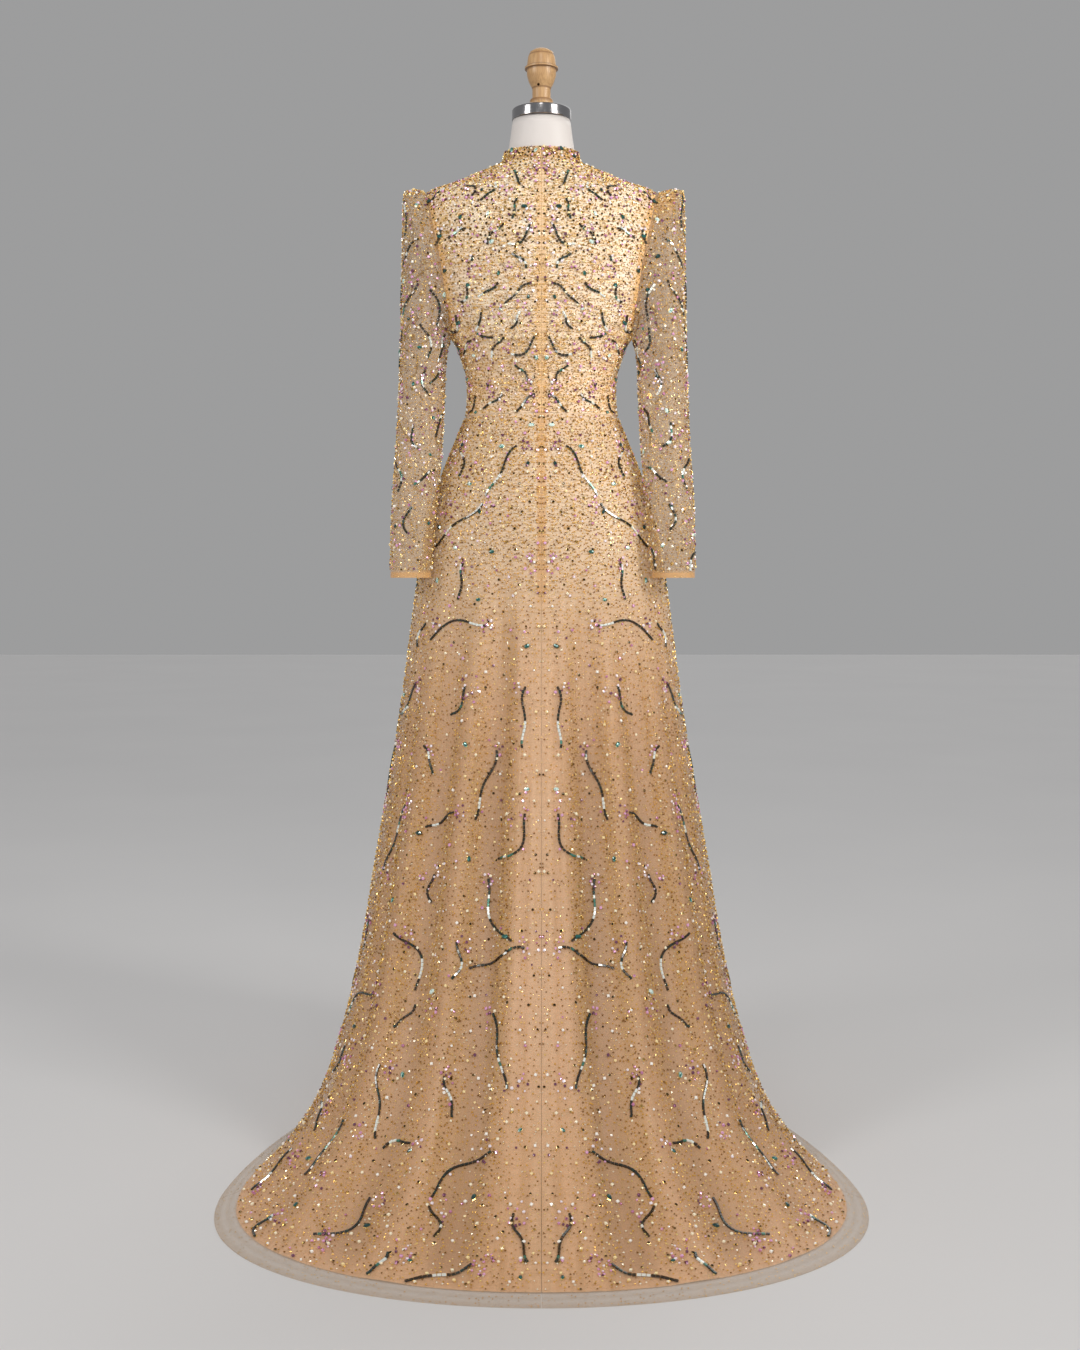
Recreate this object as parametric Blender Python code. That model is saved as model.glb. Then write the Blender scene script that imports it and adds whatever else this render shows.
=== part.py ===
"""Long-sleeved evening gown with a train, standing on a limbless dress form.

Metres, +Z up. The origin is on the floor, at the middle of the form's foot. The gown's front faces -Y,
its train runs towards +Y, and the wearer's left is +X. Angles round the body are degrees from the centre
back (+Y) towards +X. Every cloth piece is a wall between two skins of points on the same grid, so that
neighbouring walls have parallel facets and stay clear of each other.
"""

import math
from collections import namedtuple

import bmesh
import bpy
from mathutils import Vector

# ---- Cloth --------------------------------------------------------------------------------------------
CLOTH = 0.0010  # thickness of the tulle, the bodice and the lining
COLLAR_CLOTH = 0.0016  # the collar is double
SEAM_GAP = 0.0003  # between pieces that are sewn together
SEAT_GAP = 0.0005  # between the shoulders and what they rest on
EASE = 0.0036  # between the gown and the form elsewhere, with room for the zip
ZIP_HALF_WIDTH = 0.012
ZIP_CLOTH = 0.0010

# ---- Bodice, from the waist seam to the neckline -------------------------------------------------------
# side_x is half the width at the side edge: the side seam, then the armhole, then the shoulder seam.
# back_edge and front_edge are how far behind and in front of the middle that edge lies. back_y and front_y
# are the depths at the centre back and the centre front. turn is how far round the half section goes
# before its edge, in degrees. back_peak and front_peak shape it: 1 is an ellipse, less is boxier, more is
# sharper. drop is how much lower the centre front lies.
BodiceRow = namedtuple(
    "BodiceRow",
    "height side_x back_edge front_edge back_y front_y turn back_peak front_peak drop",
)
BODICE = [
    BodiceRow(1.1303, 0.1240, 0.000, 0.000, 0.0860, 0.0910, 90, 0.95, 0.95, 0.000),
    BodiceRow(1.1650, 0.1208, 0.000, 0.000, 0.0835, 0.0890, 90, 0.95, 0.95, 0.000),
    BodiceRow(1.1950, 0.1222, 0.000, 0.000, 0.0845, 0.0950, 90, 0.95, 0.92, 0.000),
    BodiceRow(1.2250, 0.1310, 0.000, 0.000, 0.0880, 0.1110, 90, 0.92, 0.88, 0.000),
    BodiceRow(1.2480, 0.1400, 0.000, 0.000, 0.0915, 0.1260, 90, 0.92, 0.84, 0.000),
    BodiceRow(1.2620, 0.1480, 0.000, 0.000, 0.0940, 0.1310, 90, 0.92, 0.82, 0.000),
    BodiceRow(1.2710, 0.1487, 0.022, 0.024, 0.0950, 0.1325, 82, 0.94, 0.82, 0.000),
    BodiceRow(1.2970, 0.1515, 0.040, 0.044, 0.0985, 0.1320, 72, 0.96, 0.84, 0.000),
    BodiceRow(1.3355, 0.1570, 0.053, 0.058, 0.1020, 0.1240, 65, 1.00, 0.90, 0.000),
    BodiceRow(1.3810, 0.1635, 0.057, 0.062, 0.1035, 0.1090, 61, 1.00, 1.00, 0.000),
    BodiceRow(1.4265, 0.1730, 0.053, 0.058, 0.1005, 0.0930, 61, 1.00, 1.00, 0.000),
    BodiceRow(1.4650, 0.1810, 0.040, 0.044, 0.0930, 0.0790, 66, 1.05, 1.05, 0.001),
    BodiceRow(1.4910, 0.1855, 0.022, 0.024, 0.0845, 0.0700, 76, 1.20, 1.20, 0.003),
    BodiceRow(1.4990, 0.1870, 0.000, 0.000, 0.0810, 0.0670, 90, 1.40, 1.40, 0.004),
    BodiceRow(1.5142, 0.1450, 0.000, 0.000, 0.0730, 0.0640, 90, 1.40, 1.35, 0.009),
    BodiceRow(1.5310, 0.1030, 0.000, 0.000, 0.0620, 0.0630, 90, 1.25, 1.20, 0.014),
    BodiceRow(1.5455, 0.0650, 0.000, 0.000, 0.0500, 0.0620, 90, 1.00, 1.00, 0.019),
]
UNDERARM_ROW, SHOULDER_ROW = 5, 13
HALF_COLUMNS = 8  # from the centre line to the side edge

# ---- Collar, from the neckline up -----------------------------------------------------------------------
CollarRow = namedtuple("CollarRow", "rise half_width back_y front_y")
COLLAR = [
    CollarRow(0.0003, 0.0650, 0.0500, 0.0620),
    CollarRow(0.0098, 0.0622, 0.0477, 0.0590),
    CollarRow(0.0195, 0.0602, 0.0462, 0.0572),
]

# ---- Sleeve: each ring spans from an inner to an outer point of the sleeve's own length ------------------
# half_depth is half the ring from front to back, and mid_y where its middle lies.
SleeveRing = namedtuple("SleeveRing", "inner_x inner_z outer_x outer_z half_depth mid_y")
SLEEVE = [
    SleeveRing(0.1500, 1.2590, 0.2070, 1.5035, 0.0615, 0.000),
    SleeveRing(0.1515, 1.2530, 0.2225, 1.5010, 0.0620, 0.000),
    SleeveRing(0.1545, 1.2440, 0.2262, 1.4820, 0.0605, 0.001),
    SleeveRing(0.1565, 1.2290, 0.2272, 1.4350, 0.0565, 0.004),
    SleeveRing(0.1580, 1.2060, 0.2280, 1.3600, 0.0520, 0.010),
    SleeveRing(0.1590, 1.1650, 0.2290, 1.2700, 0.0475, 0.019),
    SleeveRing(0.1600, 1.1200, 0.2305, 1.1800, 0.0445, 0.031),
    SleeveRing(0.1620, 1.0700, 0.2330, 1.0950, 0.0415, 0.045),
    SleeveRing(0.1650, 1.0200, 0.2360, 1.0300, 0.0385, 0.062),
    SleeveRing(0.1690, 0.9700, 0.2380, 0.9750, 0.0350, 0.078),
    SleeveRing(0.1725, 0.9200, 0.2385, 0.9220, 0.0315, 0.089),
    SleeveRing(0.1745, 0.8680, 0.2390, 0.8680, 0.0290, 0.097),
]
RIGHT_HEAD_EXTRA = 0.009  # the right sleeve's head stands further out, which dies away down the arm
RIGHT_EXTRA_RINGS = 20

# ---- Skirt, from the waist seam to the train's hem ------------------------------------------------------
# half_width is at the widest place, widest_y how far back that lies. gather is how deep the folds are
# there, as a share of their full depth. side_gap and back_gap are how far the tulle stands off its lining.
SkirtRow = namedtuple(
    "SkirtRow",
    "height half_width widest_y back_y front_y back_peak front_peak gather side_gap back_gap",
)
SKIRT = [
    SkirtRow(1.1300, 0.1240, 0.000, 0.086, 0.091, 0.95, 0.95, 0.00, 0.0003, 0.0003),
    SkirtRow(1.0850, 0.1430, 0.000, 0.103, 0.101, 0.93, 0.95, 0.00, 0.0125, 0.0015),
    SkirtRow(1.0300, 0.1640, 0.000, 0.122, 0.110, 0.92, 0.96, 0.00, 0.0155, 0.0020),
    SkirtRow(0.9600, 0.1840, 0.000, 0.136, 0.120, 0.91, 0.97, 0.02, 0.0125, 0.0020),
    SkirtRow(0.8700, 0.2015, 0.002, 0.147, 0.131, 0.90, 0.98, 0.12, 0.0125, 0.0025),
    SkirtRow(0.7750, 0.2145, 0.006, 0.160, 0.143, 0.90, 1.00, 0.50, 0.0120, 0.0030),
    SkirtRow(0.6500, 0.2305, 0.014, 0.184, 0.159, 0.90, 1.00, 0.85, 0.0115, 0.0030),
    SkirtRow(0.5200, 0.2510, 0.028, 0.216, 0.177, 0.90, 1.00, 1.00, 0.0110, 0.0030),
    SkirtRow(0.4000, 0.2700, 0.045, 0.252, 0.194, 0.90, 1.00, 1.00, 0.0100, 0.0030),
    SkirtRow(0.2800, 0.2880, 0.070, 0.300, 0.211, 0.90, 1.04, 0.90, 0.0080, 0.0030),
    SkirtRow(0.1700, 0.3110, 0.110, 0.360, 0.228, 0.90, 1.10, 0.80, 0.0100, 0.0030),
    SkirtRow(0.0850, 0.3390, 0.165, 0.436, 0.245, 0.88, 1.15, 0.70, 0.0160, 0.0025),
    SkirtRow(0.0320, 0.3780, 0.238, 0.530, 0.258, 0.86, 1.20, 0.50, 0.0110, 0.0012),
    SkirtRow(0.0110, 0.4040, 0.305, 0.605, 0.266, 0.85, 1.25, 0.30, 0.0030, 0.0003),
    SkirtRow(0.0028, 0.4260, 0.347, 0.650, 0.271, 0.85, 1.28, 0.15, 0.0003, 0.0003),
    SkirtRow(0.0010, 0.4510, 0.372, 0.687, 0.275, 0.86, 1.30, 0.00, 0.0003, 0.0003),
]
LINING_ROWS = len(SKIRT) - 1  # the lining stops one row short of the tulle's hem
BACK_STEP, FRONT_STEP = 5.0, 7.5  # degrees between columns behind and in front of the side seams
SIDE_SEAM = 90.0
TRAIN_LIFT = 2 * CLOTH + SEAM_GAP + 0.0001  # the tulle's top skin, where it lies on the lining

# Folds of the skirt: depth is how far the middle of the fold goes in, and below zero it stands out.
Fold = namedtuple("Fold", "angle half_width depth")
FOLDS = [
    Fold(-8.0, 5.0, -0.004),
    Fold(8.0, 5.0, -0.004),
    Fold(-17.0, 5.5, 0.015),
    Fold(17.0, 5.5, 0.016),
    Fold(-27.0, 5.5, -0.005),
    Fold(27.0, 5.5, -0.006),
    Fold(-40.0, 6.5, 0.009),
    Fold(39.0, 6.5, 0.010),
    Fold(-50.0, 6.0, -0.004),
    Fold(51.0, 6.0, -0.003),
    Fold(-63.0, 7.0, 0.006),
    Fold(64.0, 7.0, 0.007),
    Fold(-80.0, 7.5, 0.004),
    Fold(79.0, 7.5, 0.003),
    Fold(-103.0, 9.0, 0.007),
    Fold(106.0, 9.0, 0.006),
    Fold(-126.0, 9.0, 0.006),
    Fold(129.0, 9.0, 0.008),
    Fold(-151.0, 9.0, 0.008),
    Fold(153.0, 9.0, 0.007),
    Fold(180.0, 9.0, -0.004),
]

# ---- Dress form ----------------------------------------------------------------------------------------
FormRow = namedtuple("FormRow", "height half_width back_y front_y")
HIPS = [
    FormRow(0.812, 0.140, 0.094, 0.086),
    FormRow(0.822, 0.158, 0.109, 0.100),
    FormRow(0.850, 0.1740, 0.124, 0.112),
    FormRow(0.905, 0.1760, 0.129, 0.116),
    FormRow(0.960, 0.1650, 0.126, 0.111),
    FormRow(1.030, 0.1420, 0.112, 0.101),
    FormRow(1.085, 0.1250, 0.0935, 0.092),
]
NECK = FormRow(1.6187, 0.0478, 0.0400, 0.0490)
NECK_MIDDLE_Y = -0.0045
ARM_PLATE_BULGE = 0.006
SIDE_POINT = 0.3  # where the form's extra points beside each side line lie, as a share of a column

# Turned pieces: radius and height, from the bottom middle to the top middle.
CAP_BOTTOM, CAP_TOP, CAP_RADIUS, CAP_EDGE = NECK.height + SEAM_GAP, 1.6370, 0.0486, 0.0030
FINIAL_BOTTOM = CAP_TOP + SEAM_GAP
FINIAL = [
    (0.0193, 0.0000),
    (0.0193, 0.0145),
    (0.0180, 0.0168),
    (0.0150, 0.0170),
    (0.0150, 0.0330),
    (0.0162, 0.0370),
    (0.0207, 0.0455),
    (0.0237, 0.0560),
    (0.0243, 0.0655),
    (0.0275, 0.0665),
    (0.0275, 0.0695),
    (0.0240, 0.0705),
    (0.0236, 0.0760),
    (0.0220, 0.0875),
    (0.0190, 0.0945),
    (0.0125, 0.0990),
]
FOOT_RADIUS, FOOT_HEIGHT, FOOT_EDGE = 0.190, 0.016, 0.005
POLE_RADIUS = 0.016
TURNED_SIDES, POLE_SIDES, FOOT_SIDES = 20, 16, 32

# ---- Finishes: colour, roughness, metallic ---------------------------------------------------------------
Finish = namedtuple("Finish", "colour roughness metallic")
FINISHES = {
    "beaded_cloth": Finish((0.80, 0.60, 0.34), 0.55, 0.0),
    "tulle": Finish((0.78, 0.58, 0.36), 0.60, 0.0),
    "lining": Finish((0.86, 0.62, 0.42), 0.45, 0.0),
    "zip_tape": Finish((0.85, 0.52, 0.20), 0.60, 0.0),
    "form_shell": Finish((0.86, 0.84, 0.82), 0.45, 0.0),
    "bright_metal": Finish((0.75, 0.75, 0.77), 0.12, 1.0),
    "turned_wood": Finish((0.70, 0.50, 0.28), 0.50, 0.0),
    "painted_metal": Finish((0.82, 0.81, 0.80), 0.40, 0.0),
}


# ---- Meshes ------------------------------------------------------------------------------------------------
def finish(name):
    """The named material, made once."""
    material = bpy.data.materials.get(name)
    if material is None:
        material = bpy.data.materials.new(name)
        material.use_nodes = True
        shader = material.node_tree.nodes["Principled BSDF"]
        look = FINISHES[name]
        shader.inputs["Base Color"].default_value = (*look.colour, 1.0)
        shader.inputs["Roughness"].default_value = look.roughness
        shader.inputs["Metallic"].default_value = look.metallic
    return material


def add_object(name, mesh, finish_name):
    """Puts a finished bmesh into the scene as a smooth-shaded object."""
    bmesh.ops.recalc_face_normals(mesh, faces=mesh.faces)
    data = bpy.data.meshes.new(name)
    mesh.to_mesh(data)
    mesh.free()
    data.shade_smooth()
    data.set_sharp_from_angle(angle=math.radians(40))
    data.materials.append(finish(finish_name))
    obj = bpy.data.objects.new(name, data)
    bpy.context.scene.collection.objects.link(obj)
    return obj


def add_quad(mesh, a, b, c, d):
    """Two triangles, always split from a to c, so that skins on one grid have parallel facets."""
    mesh.faces.new((a, b, c))
    mesh.faces.new((a, c, d))


def add_wall(name, outer, inner, finish_name, tube=False):
    """A cloth wall between two skins of rows of points. A tube's rows close on themselves."""
    mesh = bmesh.new()
    skins = [[[mesh.verts.new(p) for p in row] for row in skin] for skin in (outer, inner)]
    rows, columns = len(outer), len(outer[0])
    steps = columns if tube else columns - 1
    for skin in skins:
        for low, high in zip(skin, skin[1:]):
            for c in range(steps):
                d = (c + 1) % columns
                add_quad(mesh, low[c], low[d], high[d], high[c])
    for r in (0, rows - 1):
        for c in range(steps):
            d = (c + 1) % columns
            add_quad(mesh, skins[0][r][c], skins[0][r][d], skins[1][r][d], skins[1][r][c])
    if not tube:
        for c in (0, columns - 1):
            for r in range(rows - 1):
                add_quad(mesh, skins[0][r][c], skins[0][r + 1][c], skins[1][r + 1][c], skins[1][r][c])
    return add_object(name, mesh, finish_name)


def add_stack(name, rings, finish_name):
    """A solid through closed rings, with a flat fan at the bottom and the top."""
    mesh = bmesh.new()
    circles = [[mesh.verts.new(p) for p in ring] for ring in rings]
    count = len(rings[0])
    for low, high in zip(circles, circles[1:]):
        for c in range(count):
            d = (c + 1) % count
            add_quad(mesh, low[c], low[d], high[d], high[c])
    for ring, circle in ((rings[0], circles[0]), (rings[-1], circles[-1])):
        middle = mesh.verts.new(sum(ring, Vector()) / count)
        for c in range(count):
            mesh.faces.new((circle[c], circle[(c + 1) % count], middle))
    return add_object(name, mesh, finish_name)


def add_turned(name, profile, sides, finish_name, middle_y=0.0):
    """A solid of revolution on an upright axis, from (radius, height) pairs."""
    rings = []
    angles = [math.tau * i / sides for i in range(sides)]
    for radius, height in profile:
        ring = [(radius * math.sin(a), middle_y + radius * math.cos(a)) for a in angles]
        rings.append([Vector((x, y, height)) for x, y in ring])
    return add_stack(name, rings, finish_name)


# ---- Grids of points ------------------------------------------------------------------------------------
def grid_normals(grid, tube=False):
    """A unit normal for each point of a grid, from its neighbours' places."""
    rows, columns = len(grid), len(grid[0])
    normals = []
    for r in range(rows):
        line = []
        for c in range(columns):
            if tube:
                across = grid[r][(c + 1) % columns] - grid[r][c - 1]
            else:
                across = grid[r][min(c + 1, columns - 1)] - grid[r][max(c - 1, 0)]
            along = grid[min(r + 1, rows - 1)][c] - grid[max(r - 1, 0)][c]
            line.append(along.cross(across).normalized())
        normals.append(line)
    return normals


def moved(grid, normals, distance):
    """The grid moved along its normals by a distance, or by one distance for each row and column."""
    return [
        [
            point + normal * (distance[r][c] if isinstance(distance, list) else distance)
            for c, (point, normal) in enumerate(zip(points, line))
        ]
        for r, (points, line) in enumerate(zip(grid, normals))
    ]


def mirrored(grid):
    """The same grid on the wearer's right."""
    return [[Vector((-p.x, p.y, p.z)) for p in row] for row in grid]


def levelled(inner, outer):
    """The inner skin with its first row at the outer skin's heights, so that two seam edges lie parallel."""
    first = [Vector((p.x, p.y, q.z)) for p, q in zip(inner[0], outer[0])]
    return [first, *inner[1:]]


def pulled_in(grid):
    """A panel's skin with its two side edges drawn in by half a seam's gap, square to the seam."""
    pulled = []
    for r, row in enumerate(grid):
        above, below = grid[min(r + 1, len(grid) - 1)], grid[max(r - 1, 0)]
        ends = []
        for edge, next_in in ((0, 1), (-1, -2)):
            seam = (above[edge] - below[edge]).normalized()
            inwards = row[next_in] - row[edge]
            inwards -= seam * inwards.dot(seam)
            ends.append(row[edge] + inwards.normalized() * SEAM_GAP / 2)
        pulled.append([ends[0], *row[1:-1], ends[1]])
    return pulled


def add_panel(name, outer, inner, finish_name):
    """A sewn panel: its side edges keep half a seam's gap from their neighbours'."""
    return add_wall(name, pulled_in(outer), pulled_in(inner), finish_name)


# ---- Bodice ------------------------------------------------------------------------------------------------
def half_section(row, depth, edge, peak, drop, share):
    """A point of a half section, at a share of the way from the centre line (0) to the side edge (1)."""
    full = math.radians(row.turn)
    angle = full * share
    end = max(math.cos(full), 0.0) ** peak
    forward = edge + (depth - edge) * (max(math.cos(angle), 0.0) ** peak - end) / (1 - end)
    sideways = row.side_x * math.sin(angle) / math.sin(full)
    return sideways, forward, row.height - drop * math.cos(angle) ** 2


def bodice_halves():
    """The left back and left front grids, from the centre line to the side edge, waist to neckline."""
    back, front = [], []
    for row in BODICE:
        shares = [c / HALF_COLUMNS for c in range(HALF_COLUMNS + 1)]
        behind = [half_section(row, row.back_y, row.back_edge, row.back_peak, 0.0, s) for s in shares]
        before = [half_section(row, row.front_y, row.front_edge, row.front_peak, row.drop, s) for s in shares]
        back.append([Vector((x, y, z)) for x, y, z in behind])
        front.append([Vector((x, -y, z)) for x, y, z in before])
    return back, front


def bodice_normals(back, front):
    """Outward normals of both halves, which agree along the side, shoulder and centre lines."""
    behind = grid_normals(back)
    before = [[-n for n in line] for line in grid_normals(front)]
    for r in range(len(BODICE)):
        for line in (behind[r], before[r]):
            line[0] = Vector((0, line[0].y, line[0].z)).normalized()
        if r <= UNDERARM_ROW or r >= SHOULDER_ROW:
            shared = (behind[r][-1] + before[r][-1]).normalized()
            behind[r][-1] = before[r][-1] = shared
    return behind, before


def add_bodice(back, front, behind, before):
    """The front, cut on the fold, and the two halves of the back, all with their columns in one direction."""
    inner_back = levelled(moved(back, behind, -CLOTH), back)
    inner_front = levelled(moved(front, before, -CLOTH), front)
    add_panel("bodice_back_left", back, inner_back, "beaded_cloth")
    right_back = [[line[::-1] for line in mirrored(half)] for half in (back, inner_back)]
    add_panel("bodice_back_right", *right_back, "beaded_cloth")
    whole = []
    for half in (front, inner_front):
        whole.append([left[::-1] + right[1:] for left, right in zip(half, mirrored(half))])
    add_panel("bodice_front", *whole, "beaded_cloth")


# ---- Collar ------------------------------------------------------------------------------------------------
def collar_rows(back, front):
    """The collar's outer skin, from the left of the centre back round the front to the right."""
    rows = []
    neckline = back[-1] + front[-1][-2::-1]
    shares = [c / HALF_COLUMNS * math.pi / 2 for c in range(HALF_COLUMNS + 1)]
    for row in COLLAR:
        behind = [(row.half_width * math.sin(a), row.back_y * math.cos(a)) for a in shares]
        before = [(row.half_width * math.sin(a), -row.front_y * math.cos(a)) for a in shares[-2::-1]]
        left = [Vector((x, y, p.z + row.rise)) for (x, y), p in zip(behind + before, neckline)]
        rows.append(left + [Vector((-p.x, p.y, p.z)) for p in left[-2::-1]])
    return rows


def collar_inside(outer, depth):
    """The collar's skin moved inwards, with its two ends kept at the centre back."""
    normals = grid_normals(outer)
    for line in normals:
        for c in (0, -1):
            line[c] = Vector((0, line[c].y, line[c].z)).normalized()
    return levelled(moved(outer, normals, -depth), outer)


# ---- Sleeves -----------------------------------------------------------------------------------------------
def armhole(back, front):
    """The closed edge of the left armhole: underarm, up the back, shoulder tip, down the front."""
    rows = range(UNDERARM_ROW, SHOULDER_ROW)
    up = [back[r][-1] for r in rows]
    down = [front[r][-1] for r in reversed(rows[1:])]
    return up + [back[SHOULDER_ROW][-1]] + down


def sleeve_rings(back, front, extra):
    """The left sleeve's outer skin, with its head further out by extra."""
    seam = armhole(back, front)
    rings = [[p + Vector((SEAM_GAP, 0, 0)) for p in seam]]
    for number, ring in enumerate(SLEEVE, start=1):
        wider = extra * (1 - number / RIGHT_EXTRA_RINGS)
        inner = Vector((ring.inner_x, ring.mid_y, ring.inner_z))
        outer = Vector((ring.outer_x + wider, ring.mid_y, ring.outer_z))
        middle, reach = (inner + outer) / 2, (outer - inner) / 2
        points = []
        for i in range(len(seam)):
            angle = math.tau * i / len(seam)
            aside = Vector((0, ring.half_depth * math.sin(angle), 0))
            points.append(middle - reach * math.cos(angle) + aside)
        rings.append(points)
    return rings


def add_sleeve(side, back, front):
    """One long sleeve, open at the armhole and the cuff."""
    outer = sleeve_rings(back, front, RIGHT_HEAD_EXTRA if side == "right" else 0.0)
    inner = moved(outer, grid_normals(outer, tube=True), -CLOTH)
    inner[0] = [Vector((max(p.x, q.x), p.y, p.z)) for p, q in zip(inner[0], outer[0])]
    if side == "right":
        outer, inner = mirrored(outer), mirrored(inner)
    add_wall(f"sleeve_{side}", outer, inner, "tulle", tube=True)


# ---- Skirt -------------------------------------------------------------------------------------------------
def skirt_angles():
    """Column angles all round, from the centre back, closer together behind the side seams."""
    back = [BACK_STEP * i for i in range(int(SIDE_SEAM / BACK_STEP))]
    front = [SIDE_SEAM + FRONT_STEP * i for i in range(int((180 - SIDE_SEAM) / FRONT_STEP))]
    left = back + front
    return left + [180.0] + [-a for a in reversed(left[1:])]


def fold_depth(angle):
    """How far all the folds together go in at this angle, where they are deepest."""
    total = 0.0
    for fold in FOLDS:
        away = (angle - fold.angle + 180) % 360 - 180
        total += fold.depth * math.exp(-((away / fold.half_width) ** 2))
    return total


def skirt_grid():
    """The tulle's outer skin as closed rows, waist to hem, with its folds and held above the floor."""
    smooth = []
    for row in SKIRT:
        line = []
        for angle in skirt_angles():
            turn = math.radians(angle)
            away = math.cos(turn)
            if away >= 0:
                y = row.widest_y + (row.back_y - row.widest_y) * away**row.back_peak
            else:
                y = row.widest_y - (row.widest_y + row.front_y) * (-away) ** row.front_peak
            line.append(Vector((row.half_width * math.sin(turn), y, row.height)))
        smooth.append(line)
    normals = [[-n for n in line] for line in grid_normals(smooth, tube=True)]
    depths = [[-row.gather * fold_depth(a) for a in skirt_angles()] for row in SKIRT]
    folded = moved(smooth, normals, depths)
    for r, line in enumerate(folded):
        lowest = TRAIN_LIFT if r < LINING_ROWS else CLOTH
        for point in line:
            point.z = max(point.z, lowest)
    return folded


def stand_off():
    """How far the tulle stands off the lining, for each row and column."""
    gaps = []
    for row in SKIRT:
        sides = [math.sin(math.radians(a)) ** 2 for a in skirt_angles()]
        gaps.append([row.back_gap + (row.side_gap - row.back_gap) * s for s in sides])
    return gaps


def skirt_panels(grid):
    """The front, back left and back right stretches of a grid of closed rows, each ending on a seam."""
    seam = int(SIDE_SEAM / BACK_STEP)
    return {
        "back_left": [row[: seam + 1] for row in grid],
        "front": [row[seam : len(row) - seam + 1] for row in grid],
        "back_right": [row[len(row) - seam :] + row[:1] for row in grid],
    }


def skirt_skins():
    """The four skins of the skirt, outermost first: tulle outside and inside, lining outside and inside."""
    tulle = skirt_grid()
    normals = [[-n for n in line] for line in grid_normals(tulle, tube=True)]
    gaps = [[-(CLOTH + gap) for gap in line] for line in stand_off()]
    deeper = [[gap - CLOTH for gap in line] for line in gaps]
    skins = [tulle, moved(tulle, normals, -CLOTH), moved(tulle, normals, gaps), moved(tulle, normals, deeper)]
    for skin in skins[1:]:
        for line in skin:
            for point in line:
                point.z = max(point.z, 0.0)
    return [tulle] + [levelled(skin, tulle) for skin in skins[1:]]


def add_skirt(skins):
    """The three tulle panels and the three lining panels."""
    tulle_outer, tulle_inner, lining_outer, lining_inner = skins
    layers = (
        ("overlay", tulle_outer, tulle_inner, "tulle"),
        ("lining", lining_outer[:LINING_ROWS], lining_inner[:LINING_ROWS], "lining"),
    )
    for layer, outer, inner, look in layers:
        for (panel, out_rows), in_rows in zip(skirt_panels(outer).items(), skirt_panels(inner).values()):
            add_panel(f"{layer}_{panel}", out_rows, in_rows, look)


# ---- Zip ---------------------------------------------------------------------------------------------------
ZIP_SKIRT_ROWS = 6  # how many of the skirt's rows the zip runs down


def beside_centre(left, middle, right):
    """Three points across the zip's width, on the facets either side of the centre-back point."""
    across = []
    for neighbour in (left, middle, right):
        width = abs(neighbour.x - middle.x)
        across.append(middle.lerp(neighbour, ZIP_HALF_WIDTH / width) if width else middle)
    return across


def add_zip(back, behind, collar_outer, lining_inner):
    """The zip's tape and coil as one flat strip behind the centre-back seam, collar to hip."""
    lines = []
    for row in reversed(collar_inside(collar_outer, COLLAR_CLOTH)):
        lines.append(beside_centre(row[1], row[0], row[-2]))
    inner_back = moved(back, behind, -CLOTH)
    for row, twin in zip(inner_back[-2:0:-1], mirrored(inner_back)[-2:0:-1]):
        lines.append(beside_centre(row[1], row[0], twin[1]))
    for row in lining_inner[:ZIP_SKIRT_ROWS]:
        lines.append(beside_centre(row[1], row[0], row[-1]))
    normals = grid_normals(lines)
    outward = 1 if normals[0][1].y > 0 else -1
    outer = moved(lines, normals, -outward * SEAM_GAP)
    inner = moved(lines, normals, -outward * (SEAM_GAP + ZIP_CLOTH))
    add_wall("zip", outer, inner, "zip_tape")


# ---- Dress form --------------------------------------------------------------------------------------------
def level_half(row, middle_y=0.0):
    """The form's left half of a level ring: part of an ellipse behind middle_y and part in front of it."""
    step = 90 / HALF_COLUMNS
    beside = [90 - SIDE_POINT * step, 90, 90 + SIDE_POINT * step]
    angles = [step * i for i in range(HALF_COLUMNS)] + beside
    angles += [90 + step * i for i in range(1, HALF_COLUMNS + 1)]
    half = []
    for turn in map(math.radians, angles):
        away = math.cos(turn)
        reach = row.back_y - middle_y if away >= 0 else row.front_y + middle_y
        half.append(Vector((row.half_width * math.sin(turn), middle_y + reach * away, row.height)))
    return half


def with_side_points(line):
    """A half ring with one more point on either side of its side point."""
    side = line[HALF_COLUMNS]
    before = side.lerp(line[HALF_COLUMNS - 1], SIDE_POINT)
    after = side.lerp(line[HALF_COLUMNS + 1], SIDE_POINT)
    return [*line[:HALF_COLUMNS], before, side, after, *line[HALF_COLUMNS + 1 :]]


def under_bodice(back, front, behind, before):
    """The form's left half rings inside the bodice, each from the centre back to the centre front."""
    halves = []
    for r in range(len(BODICE)):
        seated = SHOULDER_ROW <= r < len(BODICE) - 1
        line = []
        for c in range(HALF_COLUMNS + 1):
            seat = c / HALF_COLUMNS if seated else 0.0
            depth = CLOTH + EASE + (SEAT_GAP - EASE) * seat
            line.append((back[r][c] - behind[r][c] * depth, front[r][c] - before[r][c] * depth))
        up = [pair[0] for pair in line]
        down = [pair[1] for pair in reversed(line)]
        if UNDERARM_ROW < r < SHOULDER_ROW:
            rise = (r - UNDERARM_ROW) / (SHOULDER_ROW - UNDERARM_ROW)
            plate = (up[-1] + down[0]) / 2
            plate.x += ARM_PLATE_BULGE * math.sin(math.pi * rise)
            halves.append([*up, plate, *down])
        else:
            halves.append(with_side_points(up + down[1:]))
    return halves


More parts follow.
